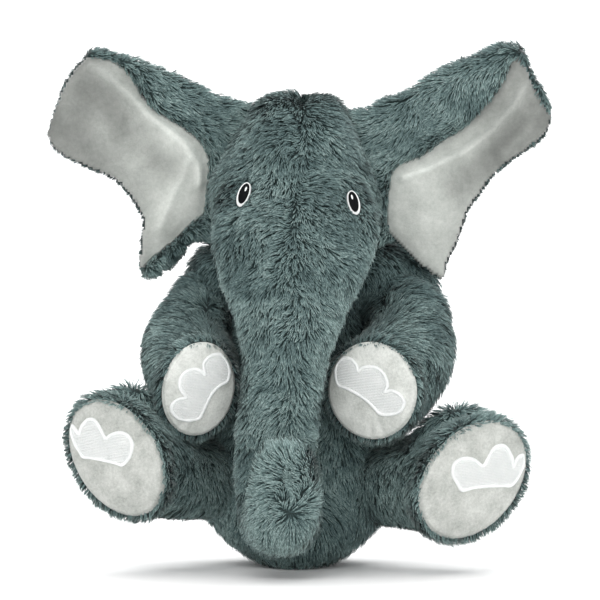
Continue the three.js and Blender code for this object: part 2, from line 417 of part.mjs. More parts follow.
// ---- trunk ------------------------------------------------------------------------------
const upperShell = upperTrunk(0).subtract(upperTrunk(COVER, 12)).subtract(cutMid());
add('trunk_upper_cover_left', upperShell.intersect(half([TRUNK_ROOT[0] - 3.6 - 0.15, 0, 0], [-1, 0, 0])), 'fur');
add('trunk_upper_cover_right', upperShell.intersect(half([TRUNK_ROOT[0] - 3.6 + 0.15, 0, 0], [1, 0, 0])), 'fur');
add('trunk_upper_stuffing', upperTrunk(COVER + GAP).subtract(cutMid()), 'fill');
const lowerShell = lowerTrunk(0, 4).subtract(lowerTrunk(COVER, 16)).subtract(socket(TRUNK_TURN, TRUNK_TURN_R));
add('trunk_lower_cover_left', lowerShell.intersect(half([-11.15, 0, 0], [-1, 0, 0])), 'fur');
add('trunk_lower_cover_right', lowerShell.intersect(half([-10.85, 0, 0], [1, 0, 0])), 'fur');
add('trunk_lower_stuffing', lowerTrunk(COVER + GAP, 4).subtract(socket(TRUNK_TURN, TRUNK_TURN_R)), 'fill');
const tipShell = tipOuter.subtract(tipTrunk(COVER));
add('trunk_tip_cover_left', tipShell.intersect(half([-8.75, 0, 0], [-1, 0, 0])), 'fur');
add('trunk_tip_cover_right', tipShell.intersect(half([-8.45, 0, 0], [1, 0, 0])), 'fur');
add('trunk_tip_stuffing', tipTrunk(COVER + GAP), 'fill');

// ---- arms and legs -------------------------------------------------------------------
// where an arm rests on a thigh, the thigh is pressed in, and the trunk presses in the paws
const trunkRoom = upperTrunk(-0.7).add(lowerTrunk(-0.7, 4));
for (const [name, parts] of Object.entries(limbs)) {
  const [kind, s] = name.split('_');
  // an arm that lifts brushes over the thigh for its first few degrees
  const arm = limbs[`arm_${s}`].room, across = [-Math.SQRT1_2, 0, s === 'left' ? -Math.SQRT1_2 : Math.SQRT1_2];
  const room = kind === 'arm' ? trunkRoom
    : [5, 10, 15, 21].reduce((all, degrees) => all.add(arm.transform(turnAbout(ARMS[s].hip, across, degrees))), arm);
  const pad = kind === 'arm' ? `paw_${s}` : `foot_${s}`;
  add(`${name}_cover`, parts.cover.subtract(room), 'fur');
  add(`${name}_stuffing`, parts.fill, 'fill');
  add(`${pad}_pad`, parts.pad, 'velvet');
  add(`${pad}_toes`, parts.toes, 'thread');
}

// ---- tail: a soft cord with a tuft -----------------------------------------------------
const TAIL_ROOT = [0, 66, 74];
const tailPath = new THREE.CatmullRomCurve3([V([0, 66.5, 70]), V([0, 69, 62]), V([0, 71, 50]), V([0, 72, 38]), V([0, 72, 30])]);
const disc12 = new THREE.Shape(Array.from({ length: 8 }, (_, i) => new THREE.Vector2(4.5 * Math.cos(i * Math.PI / 4), 4.5 * Math.sin(i * Math.PI / 4))));
const tailTube = solid(new THREE.ExtrudeGeometry(disc12, { steps: 5, bevelEnabled: false, extrudePath: tailPath }));
add('tail_cord', tailTube.add(ball([TAIL_ROOT[0], TAIL_ROOT[1], TAIL_ROOT[2] - 3], 5.5, 10, 6)), 'fur');
add('tail_tuft', limb([0, 72, 29.4], [
  { c: [0, 72, 26], u: X, v: Y, a: 6, b: 5.5 }, { c: [0, 72, 19], u: X, v: Y, a: 8.5, b: 7.5 }, { c: [0, 72, 11], u: X, v: Y, a: 7, b: 6 }], [0, 72, 5], 12), 'fur');

export default group;
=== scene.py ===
import math
import bpy
import numpy as np
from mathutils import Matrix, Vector, kdtree
from mathutils.bvhtree import BVHTree


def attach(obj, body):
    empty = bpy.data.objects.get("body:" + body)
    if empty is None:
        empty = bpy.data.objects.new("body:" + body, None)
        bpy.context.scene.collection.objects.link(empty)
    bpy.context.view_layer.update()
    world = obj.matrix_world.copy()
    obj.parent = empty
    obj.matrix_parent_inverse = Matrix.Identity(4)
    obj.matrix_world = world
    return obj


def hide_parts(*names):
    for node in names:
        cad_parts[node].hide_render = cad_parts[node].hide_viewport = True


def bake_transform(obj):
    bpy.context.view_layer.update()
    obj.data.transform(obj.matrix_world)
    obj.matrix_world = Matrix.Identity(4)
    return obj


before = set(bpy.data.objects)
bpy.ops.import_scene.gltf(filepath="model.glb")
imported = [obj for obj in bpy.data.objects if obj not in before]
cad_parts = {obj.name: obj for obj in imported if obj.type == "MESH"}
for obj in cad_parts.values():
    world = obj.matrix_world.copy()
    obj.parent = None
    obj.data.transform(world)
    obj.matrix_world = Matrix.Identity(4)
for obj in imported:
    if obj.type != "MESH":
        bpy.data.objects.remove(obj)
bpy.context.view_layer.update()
THIN = 1.0

# ------------------------------------------------------------------ driving sizes, mm
SKIN = 5.0                         # the knitted skin lies this far under the pile's outer face
BODY_ROWS = [
    (4, 0, -3, 38, 51), (12, 0, -1.5, 47.5, 54.5), (22, 0, 0, 57, 56.5), (36, 0, 1.5, 65, 57.5), (58, 0, 3, 70, 58),
    (88, 0, 3, 69, 57), (118, 0, 2, 61, 53), (142, 0, 2, 51, 48), (162, 0, 4, 44.95, 44.95), (176, 0, 4, 42, 42),
    (190, 0, 4, 33.5, 33.5), (200, 0, 4, 20.6, 20.6)]
SEAT = (0, -4, 31, 45)
SKULL_ROWS = [
    (301, 1, -8, 18, 19), (292, 1, -8, 29, 33), (277, 0, -8, 38.5, 46), (261, -1, -8, 46.5, 54),
    (245, -1.5, -8, 54, 58), (228, 0, -8, 56, 58), (213, 0, -9, 53, 55), (200, 0, -11, 45, 48), (189, 0, -14, 32, 37)]
FACE_ROWS = [
    (262, -1, -30, 30, 24), (248, -1.5, -38, 42, 27), (233, -1, -45, 50, 30), (218, 0, -53, 53, 33), (204, -1, -59, 52, 35),
    (191, -2, -65, 48.5, 35.5), (179, -3, -71, 44, 34.5), (167, -3.5, -76, 38.5, 33), (156, -4.2, -80.5, 33.5, 31.5),
    (147, -5.2, -83, 31, 31)]
TRUNK_ROWS = [
    (138, -6, -84, 28, 27.5), (128, -7, -85, 26.6, 26.6), (112, -8.8, -86, 26, 26), (98, -10.6, -86, 26, 26),
    (84, -12, -86, 26, 26), (72, -12, -86, 26, 25.5), (62, -11.8, -86.5, 26.5, 26)]
TRUNK_LOW = [(-11.6, -87, 56, 26.5, 26), (-10.6, -92.5, 44, 26, 25.5), (-9.4, -101, 37, 25.5, 24.6), (-9, -110, 35, 25, 23)]
TRUNK_LOW_DIR = [(0.05, -0.22, -1), (0.08, -0.68, -0.73), (0.1, -0.95, -0.3), (0.1, -1, 0.0)]
TIP_PATH = [(-8.6, -118, 37, 24, 21), (-7.4, -127, 46, 22.5, 17), (-6.4, -132, 56, 22, 15.5), (-5.6, -133.5, 68, 20.5, 15),
            (-5.0, -132.5, 78, 17.5, 12.5)]
TRUNK_MID = (-12, -86, 84)
TRUNK_TURN = (-9, -111, 36.5)
LIMBS = {
    "leg_left": dict(hip=(-42, -12, 56), root=28, path=[(-58, -25, 57.5, 28, 28), (-75, -42, 60.5, 29.5, 29.5), (-92, -60, 66, 32.5, 31.5)],
        sole=(-110.5, -84, 72), facing=(-0.42, -0.89, -0.17), upward=(-0.60, 0, 0.80), half=(43.5, 34), pad="foot_left",
        toes=[(-31.5, 16.8), (-29.9, 17.5), (-27.3, 15.6), (-24.6, 13.1), (-23.6, 16.3), (-21.4, 19.7), (-18.2, 22.7), (-14.5, 23.3), (-11.3, 21.6), (-8.7, 18.2), (-6.5, 14.4), (-4.7, 12.5), (-2.3, 14.4), (1.4, 16.3), (5.7, 17.1), (10.0, 15.8), (12.3, 12.9), (13.2, 9.6), (11.6, 3.4), (8.9, -0.5), (5.9, -2.9), (2.5, -2.2), (-8.1, -0.9), (-16.6, -0.5), (-21.4, -0.7), (-24.1, 2.4), (-27.3, 6.2), (-29.9, 11.0)]),
    "leg_right": dict(hip=(42, -12, 53), root=28, path=[(58, -24, 54, 28.5, 28.5), (74, -40, 55, 31, 31), (90, -56, 57, 34.5, 33)],
        sole=(109, -84, 58.5), facing=(0.38, -0.91, -0.16), upward=(0.72, 0, 0.69), half=(45, 36), pad="foot_right",
        toes=[(-15.3, 10.3), (-13.6, 13.0), (-9.6, 14.8), (-5.0, 14.8), (-0.4, 13.0), (4.5, 9.1), (7.7, 13.0), (11.1, 18.3), (15.1, 20.7), (19.2, 20.4), (22.6, 17.2), (24.9, 12.5), (25.8, 6.6), (28.4, 11.4), (31.2, 13.0), (33.5, 12.5), (34.1, 8.2), (31.8, 3.5), (28.4, -1.8), (24.3, -5.0), (19.2, -4.5), (7.7, -3.7), (-1.5, -3.7), (-9.3, -4.7), (-12.4, -0.2), (-15.3, 5.1)]),
    "arm_left": dict(hip=(-59, 1, 165), root=25, path=[(-65, -13, 152, 27, 27), (-69, -28, 139, 29, 29), (-66, -48, 128, 30, 30.5)],
        sole=(-59.5, -78, 114), facing=(0.28, -0.94, -0.2), upward=(0.1, 0, 1), half=(34, 27.5), pad="paw_left",
        toes=[(2.2, 15.9), (3.8, 18.8), (7.3, 21.2), (11.3, 21.7), (14.8, 20.7), (17.9, 16.9), (19.1, 12.1), (18.9, 8.3), (17.4, 4.4), (12.8, 2.5), (7.8, -1.8), (4.3, -7.5), (1.7, -12.8), (-0.3, -17.1), (-4.3, -18.4), (-9.4, -18.5), (-14.4, -16.6), (-17.4, -13.3), (-18.1, -9.4), (-16.4, -6.6), (-13.4, -4.7), (-8.9, -3.7), (-11.4, -0.3), (-12.9, 3.5), (-12.6, 7.8), (-10.4, 11.1), (-6.8, 13.3), (-2.3, 13.5), (1.2, 11.6), (3.0, 9.4)]),
    "arm_right": dict(hip=(61, 1, 165), root=25, path=[(69, -13, 153, 27.5, 27.5), (72, -28, 141, 30, 30), (65, -46, 128, 32, 32.5)],
        sole=(46.5, -78, 113), facing=(-0.36, -0.92, -0.15), upward=(0.3, 0, 0.95), half=(35, 33.5), pad="paw_right",
        toes=[(-23.2, 12.2), (-22.4, 16.5), (-19.5, 19.1), (-16.1, 19.8), (-12.1, 18.8), (-9.0, 15.9), (-7.8, 12.2), (-5.2, 14.4), (-1.1, 15.6), (4.0, 15.4), (8.0, 12.8), (10.6, 8.5), (11.3, 4.3), (9.4, 0.4), (13.2, 1.7), (17.2, 0.6), (20.7, -2.0), (21.8, -5.7), (20.1, -10.0), (16.1, -12.6), (10.9, -13.5), (6.3, -12.9), (2.3, -8.9), (-2.9, -4.7), (-8.6, -1.5), (-14.9, 1.1), (-20.7, 2.7), (-22.7, 7.0)]),
}
EAR_Y = -5.0
EARS = {
    "left": dict(s=-1, root=[(-35, 297), (-64, 220)],
        outer=[(-37.1, 297.6), (-51.2, 302.1), (-62.1, 308.5), (-73, 313.6), (-90.2, 320.7), (-103.7, 326.4), (-115.8, 329.6), (-123.5, 332.8), (-131.8, 332.8), (-140.2, 324.5), (-149.1, 313.6), (-153.6, 302.1), (-157.4, 291.2), (-160, 282.9), (-161.3, 275.2), (-158.7, 266.9), (-153, 261.2), (-144, 256), (-128, 249), (-114.6, 242), (-105, 229.8), (-99.2, 218.9), (-101.1, 210.6), (-101.1, 200.4), (-102.4, 192), (-97.3, 179.9), (-91.5, 181.2), (-83.8, 185), (-75.5, 192.7), (-69.1, 199.1), (-62.1, 205.5)],
        inner=[(-130.6, 323.2), (-137, 319.4), (-145.3, 307.2), (-151.7, 292.5), (-156.2, 277.8), (-157.4, 268.2), (-154.2, 263.7), (-140.2, 259.2), (-128, 253.5), (-115.8, 246.4), (-106.2, 236.2), (-101.1, 226.6), (-99.2, 218.9), (-101.1, 201.6), (-99.8, 189.5), (-91.5, 197.2), (-79.4, 206.8), (-67.2, 218.9), (-59.5, 224), (-57.6, 238.8), (-56.3, 257.3), (-62.1, 270.1), (-75.5, 280.4), (-89, 288.7), (-98.6, 298.3), (-103.7, 308.5), (-113.3, 318.1), (-123.5, 322)]),
    "right": dict(s=1, root=[(39.5, 295), (67, 222)],
        outer=[(45.4, 293.2), (56.3, 299.6), (68.5, 303.4), (80.6, 311.7), (96.6, 320.7), (110.1, 325.8), (120.3, 330.9), (131.2, 334.8), (144.6, 334.1), (149.8, 327.7), (154.2, 316.8), (160.6, 307.2), (165.1, 296.4), (166.4, 287.4), (165.1, 281.6), (161.9, 274), (155.5, 267.6), (147.2, 261.8), (139.5, 256.7), (131.2, 249.6), (124.8, 243.2), (117.8, 233.6), (111.4, 224), (106.9, 210.6), (103, 201.6), (97.9, 190.8), (94.7, 178), (80.6, 186.9), (69.8, 195.9), (60.8, 203.6)],
        inner=[(141.4, 322.6), (149.8, 307.2), (156.8, 293.8), (162.6, 282.9), (159.4, 276.5), (151.7, 271.4), (140.8, 263.1), (128.6, 254.8), (119, 242), (110.1, 227.2), (106.9, 213.8), (100.5, 199.1), (95.4, 186.9), (92.2, 183.7), (80.6, 192), (71, 202.9), (60.2, 213.2), (58.9, 226.6), (60.2, 238.8), (61.4, 248.4), (66.6, 254.8), (80.6, 260.5), (93.4, 269.5), (108.2, 279.1), (120.3, 292.5), (129.9, 303.4), (135.7, 315.6)]),
}
EYES = {
    "left": dict(c=(-34, -67.4, 235.3), out=(-0.46, -0.83, 0.30), lean=20),
    "right": dict(c=(37.3, -68.2, 230), out=(0.48, -0.82, 0.30), lean=-12),
}
# the middle seam of the forehead and trunk: height, x
SEAM = [(60, -3.5), (90, -1.5), (120, -0.5), (145, -1.0), (190, -2.0), (233, -1.0), (246, 3.4), (291, 4.4), (310, 4.6)]

A = np.array


def unit(v):
    v = np.asarray(v, float)
    return v / np.maximum(np.linalg.norm(v, axis=-1, keepdims=True), 1e-9)


def dot(a, b):
    return np.sum(a * b, axis=-1, keepdims=True)


def smooth(x, lo, hi):
    t = np.clip((x - lo) / (hi - lo), 0, 1)
    return t * t * (3 - 2 * t)


def noise(P, scale, seed):
    """A smooth random field, about -1 to 1, whose lumps are scale mm across."""
    rng = np.random.default_rng(seed)
    out = np.zeros(len(P))
    for _ in range(7):
        d = unit(rng.normal(size=3))
        out += np.sin(P @ d * (2 * math.pi / (scale * rng.uniform(0.7, 1.7))) + rng.uniform(0, 6.283))
    return out / 2.2


def seam_x(z):
    t = A(SEAM)
    return np.interp(z, t[:, 0], t[:, 1])


# ------------------------------------------------------------------ meshes
def make(name, verts, faces, smooth_faces=True):
    """A mesh object from vertices in mm and a list of index arrays (one array for each face size)."""
    faces = [np.asarray(f, np.int32) for f in faces if len(f)]
    me = bpy.data.meshes.new(name)
    v = (np.asarray(verts, np.float64) * 0.001).astype(np.float32)
    me.vertices.add(len(v))
    me.vertices.foreach_set("co", v.ravel())
    loops = np.concatenate([f.ravel() for f in faces])
    sizes = np.concatenate([np.full(len(f), f.shape[1]) for f in faces])
    starts = np.concatenate([[0], np.cumsum(sizes)[:-1]]).astype(np.int32)
    me.loops.add(len(loops))
    me.loops.foreach_set("vertex_index", loops)
    me.polygons.add(len(sizes))
    me.polygons.foreach_set("loop_start", starts)
    me.polygons.foreach_set("use_smooth", np.full(len(sizes), smooth_faces))
    me.update(calc_edges=True)
    o = bpy.data.objects.new(name, me)
    bpy.context.scene.collection.objects.link(o)
    return o


def loft(start, rings, end, sides=48, dense=5):
    """A closed tube through rings (c, u, v, a, b), drawn smoothly between them."""
    R = A([np.concatenate([r[0], r[1], r[2], [r[3], r[4]]]) for r in rings], float)
    n = len(R)
    E = np.vstack([2 * R[0] - R[1], R, 2 * R[-1] - R[-2]])
    rows = []
    for i in range(n - 1):
        p0, p1, p2, p3 = E[i], E[i + 1], E[i + 2], E[i + 3]
        for t in np.arange(dense) / dense:
            rows.append(0.5 * (2 * p1 + (p2 - p0) * t + (2 * p0 - 5 * p1 + 4 * p2 - p3) * t * t + (3 * p1 - p0 - 3 * p2 + p3) * t ** 3))
    rows.append(R[-1])
    rows = A(rows)
    th = np.arange(sides) / sides * 2 * math.pi
    c, u, v = rows[:, None, 0:3], unit(rows[:, 3:6])[:, None], unit(rows[:, 6:9])[:, None]
    a, b = np.maximum(rows[:, None, 9:10], 0.3), np.maximum(rows[:, None, 10:11], 0.3)
    P = c + u * a * np.cos(th)[None, :, None] + v * b * np.sin(th)[None, :, None]
    m = len(rows)
    V = np.vstack([P.reshape(-1, 3), [start], [end]])
    i, k = np.meshgrid(np.arange(m - 1), np.arange(sides), indexing="ij")
    k2 = (k + 1) % sides
    Q = np.stack([i * sides + k, i * sides + k2, (i + 1) * sides + k2, (i + 1) * sides + k], -1).reshape(-1, 4)
    kk = np.arange(sides)
    top = np.stack([np.full(sides, m * sides), (kk + 1) % sides, kk], -1)
    bot = np.stack([np.full(sides, m * sides + 1), (m - 1) * sides + kk, (m - 1) * sides + (kk + 1) % sides], -1)
    return V, Q, np.vstack([top, bot])


def relax(V, Q, rounds):
    edges = np.unique(np.sort(np.vstack([Q[:, [0, 1]], Q[:, [1, 2]], Q[:, [2, 3]], Q[:, [3, 0]]]), axis=1), axis=0)
    count = np.bincount(edges.ravel(), minlength=len(V))[:, None]
    for r in range(rounds * 2):
        s = np.zeros_like(V)
        np.add.at(s, edges[:, 0], V[edges[:, 1]])
        np.add.at(s, edges[:, 1], V[edges[:, 0]])
        V = V + (0.55 if r % 2 == 0 else -0.5) * (s / np.maximum(count, 1) - V)
    return V


def fuse(parts, voxel=2.2, rounds=6):
    """One smooth closed skin round several closed solids."""
    Vs, Qs, Ts, n = [], [], [], 0
    for V, Q, T in parts:
        Vs.append(V); Qs.append(Q + n); Ts.append(T + n); n += len(V)
    o = make("fusing", np.vstack(Vs), [np.vstack(Qs), np.vstack(Ts)])
    mod = o.modifiers.new("fuse", "REMESH")
    mod.mode = "VOXEL"
    mod.voxel_size = voxel * 0.001
    e = o.evaluated_get(bpy.context.evaluated_depsgraph_get())
    me = bpy.data.meshes.new_from_object(e)
    V = np.zeros(len(me.vertices) * 3, np.float32)
    me.vertices.foreach_get("co", V)
    V = V.reshape(-1, 3).astype(float) * 1000
    L = np.zeros(len(me.loops), np.int32)
    me.loops.foreach_get("vertex_index", L)
    Q = L.reshape(-1, 4)
    bpy.data.meshes.remove(me)
    old = o.data
    bpy.data.objects.remove(o)
    bpy.data.meshes.remove(old)
    return relax(V, Q, rounds), Q


def normals(V, Q):
    n = np.cross(V[Q[:, 2]] - V[Q[:, 0]], V[Q[:, 3]] - V[Q[:, 1]]) if Q.shape[1] == 4 else np.cross(V[Q[:, 1]] - V[Q[:, 0]], V[Q[:, 2]] - V[Q[:, 0]])
    out = np.zeros_like(V)
    for k in range(Q.shape[1]):
        np.add.at(out, Q[:, k], n)
    return unit(out)


def submesh(V, Q, keep):
    """The faces of a mesh that keep marks, with their own vertices."""
    q = Q[keep]
    used, back = np.unique(q, return_inverse=True)
    return V[used], back.reshape(q.shape)


def sample(V, Q, density, seed, VN=None):
    """Points spread evenly over a quad mesh: (points, normals)."""
    rng = np.random.default_rng(seed)
    VN = normals(V, Q) if VN is None else VN
    T = np.vstack([Q[:, [0, 1, 2]], Q[:, [0, 2, 3]]]) if Q.shape[1] == 4 else Q
    order = np.argsort(np.concatenate([np.arange(len(Q))] * 2), kind="stable") if Q.shape[1] == 4 else np.arange(len(T))
    T = T[order]
    area = np.linalg.norm(np.cross(V[T[:, 1]] - V[T[:, 0]], V[T[:, 2]] - V[T[:, 0]]), axis=1) / 2
    total = area.sum()
    n = int(total * density * THIN)
    pick = np.searchsorted(np.cumsum(area), (np.arange(n) + rng.random(n)) / n * total)
    pick = np.minimum(pick, len(T) - 1)
    a, b = rng.random(n), rng.random(n)
    flip = a + b > 1
    a[flip], b[flip] = 1 - a[flip], 1 - b[flip]
    w = np.stack([1 - a - b, a, b], 1)[..., None]
    return (V[T[pick]] * w).sum(1), unit((VN[T[pick]] * w).sum(1))


def tree_of(V, Q):
    return BVHTree.FromPolygons(V.tolist(), Q.tolist())


def depth_in(tree, P):
    """How far each point is inside a closed skin, in mm; negative outside."""
    out = np.full(len(P), -99.0)
    near = tree.find_nearest
    for i, p in enumerate(P.tolist()):
        hit = near(p, 40)
        if hit[0] is not None:
            d = Vector(p) - hit[0]
            out[i] = -d.length if d.dot(hit[1]) > 0 else d.length
    return out


# ------------------------------------------------------------------ materials
def srgb(r, g, b):
    return tuple((c / 255 / 12.92) if c / 255 <= 0.04045 else ((c / 255 + 0.055) / 1.055) ** 2.4 for c in (r, g, b))


def plain(name, rgb, rough=0.85, sheen=0.0, tint=(1, 1, 1), sheen_rough=0.4):
    m = bpy.data.materials.new(name)
    m.use_nodes = True
    b = m.node_tree.nodes["Principled BSDF"]
    b.inputs["Base Color"].default_value = (*rgb, 1)
    b.inputs["Roughness"].default_value = rough
    b.inputs["Specular IOR Level"].default_value = 0.25
    b.inputs["Sheen Weight"].default_value = sheen
    b.inputs["Sheen Roughness"].default_value = sheen_rough
    b.inputs["Sheen Tint"].default_value = (*tint, 1)
    return m


def woven(name, low, high, scale, bump, rough=0.85, sheen=0.3, fine=900.0, blotch=45.0):
    """Cloth whose colour wanders between two tones at three sizes, with a fine nap in its bump."""
    m = plain(name, high, rough, sheen)
    nt = m.node_tree
    N, Lk = nt.nodes, nt.links
    b = N["Principled BSDF"]
    co = N.new("ShaderNodeTexCoord")
    n1, n2, n3 = (N.new("ShaderNodeTexNoise") for _ in range(3))
    for n, s, d in ((n1, blotch, 3.0), (n2, scale, 4.0), (n3, fine, 2.0)):
        n.inputs["Scale"].default_value = s
        n.inputs["Detail"].default_value = d
        Lk.new(co.outputs["Object"], n.inputs["Vector"])
    a1 = N.new("ShaderNodeMath"); a1.operation = "MULTIPLY_ADD"; a1.inputs[1].default_value = 0.45
    a2 = N.new("ShaderNodeMath"); a2.operation = "MULTIPLY_ADD"; a2.inputs[1].default_value = 0.3
    a3 = N.new("ShaderNodeMath"); a3.operation = "MULTIPLY"; a3.inputs[1].default_value = 0.25
    Lk.new(n3.outputs["Fac"], a3.inputs[0])
    Lk.new(n2.outputs["Fac"], a2.inputs[0]); Lk.new(a3.outputs[0], a2.inputs[2])
    Lk.new(n1.outputs["Fac"], a1.inputs[0]); Lk.new(a2.outputs[0], a1.inputs[2])
    ramp = N.new("ShaderNodeValToRGB")
    ramp.color_ramp.elements[0].position, ramp.color_ramp.elements[1].position = 0.34, 0.66
    ramp.color_ramp.elements[0].color, ramp.color_ramp.elements[1].color = (*low, 1), (*high, 1)
    Lk.new(a1.outputs[0], ramp.inputs["Fac"])
    Lk.new(ramp.outputs["Color"], b.inputs["Base Color"])
    bp = N.new("ShaderNodeBump")
    bp.inputs["Strength"].default_value = bump
    bp.inputs["Distance"].default_value = 0.0006
    Lk.new(a2.outputs[0], bp.inputs["Height"])
    Lk.new(bp.outputs["Normal"], b.inputs["Normal"])
    return m


# pile: three tones, each with a dark root, a middle and a pale tip; which tone a strand gets is partly random and
# partly painted light and shade
TONES = [
    [(44, 60, 60), (79, 99, 99), (106, 127, 126)],
    [(55, 72, 72), (94, 115, 114), (126, 148, 146)],
    [(66, 84, 84), (110, 132, 130), (148, 169, 166)],
]
FUR = [plain(f"pile_{'abc'[s]}_{'root middle tip'.split()[k]}", srgb(*TONES[s][k]), 0.8, 0.25 if k else 0.0, (0.86, 0.93, 0.92))
       for s in range(3) for k in range(3)]
SKIN_MAT = woven("knitted_backing", srgb(34, 46, 46), srgb(56, 70, 69), 260, 0.5)
VELVET = woven("velvet", srgb(152, 155, 150), srgb(202, 204, 199), 620, 1.0, 0.9, 0.4, 1500.0, 90.0)
# painted light: the palms get a brighter copy of the same velvet, making up for the shade they sit in under the head
# and trunk
VELVET_PALM_LIT = woven("palm_velvet_lit", srgb(176, 179, 174), srgb(224, 226, 221), 620, 1.0, 0.9, 0.4, 1500.0, 90.0)
VELVET_EAR = woven("ear_velvet", srgb(156, 160, 155), srgb(187, 190, 185), 420, 0.8, 0.9, 0.4, 1400.0, 60.0)
# painted shade: the ears' velvet is drawn darker towards their outer tips, and multiplied by the nap attribute, which
# holds painted highlight, painted shade and random tone
nt = VELVET_EAR.node_tree
sep = nt.nodes.new("ShaderNodeSeparateXYZ")
nt.links.new(nt.nodes["Texture Coordinate"].outputs["Object"], sep.inputs[0])
ab = nt.nodes.new("ShaderNodeMath"); ab.operation = "ABSOLUTE"
nt.links.new(sep.outputs["X"], ab.inputs[0])
painted_tip_shade = nt.nodes.new("ShaderNodeMapRange"); painted_tip_shade.interpolation_type = "SMOOTHSTEP"
for k, v in (("From Min", 0.078), ("From Max", 0.142), ("To Min", 1.0), ("To Max", 0.50)):
    painted_tip_shade.inputs[k].default_value = v
nt.links.new(ab.outputs[0], painted_tip_shade.inputs["Value"])
painted_light_attr = nt.nodes.new("ShaderNodeAttribute"); painted_light_attr.attribute_name = "nap"
mm = nt.nodes.new("ShaderNodeMath"); mm.operation = "MULTIPLY"
nt.links.new(painted_tip_shade.outputs["Result"], mm.inputs[0]); nt.links.new(painted_light_attr.outputs["Fac"], mm.inputs[1])
mx = nt.nodes.new("ShaderNodeVectorMath"); mx.operation = "SCALE"
nt.links.new(nt.nodes["Color Ramp"].outputs["Color"], mx.inputs[0])
nt.links.new(mm.outputs[0], mx.inputs["Scale"])
nt.links.new(mx.outputs["Vector"], nt.nodes["Principled BSDF"].inputs["Base Color"])
THREAD = woven("white_thread", srgb(228, 231, 230), srgb(243, 244, 243), 900, 0.3, 0.55, 0.2, 2600.0, 120.0)
BLACK = woven("black_thread", srgb(5, 6, 8), srgb(17, 19, 21), 900, 0.4, 0.5, 0.0, 2600.0, 120.0)
BLACK.node_tree.nodes["Principled BSDF"].inputs["Specular IOR Level"].default_value = 0.08

GROUND = woven("thread_ground", srgb(226, 229, 227), srgb(241, 242, 241), 1100, 0.3, 0.7, 0.1, 2600.0, 160.0)

# ------------------------------------------------------------------ pile
NAP = {}


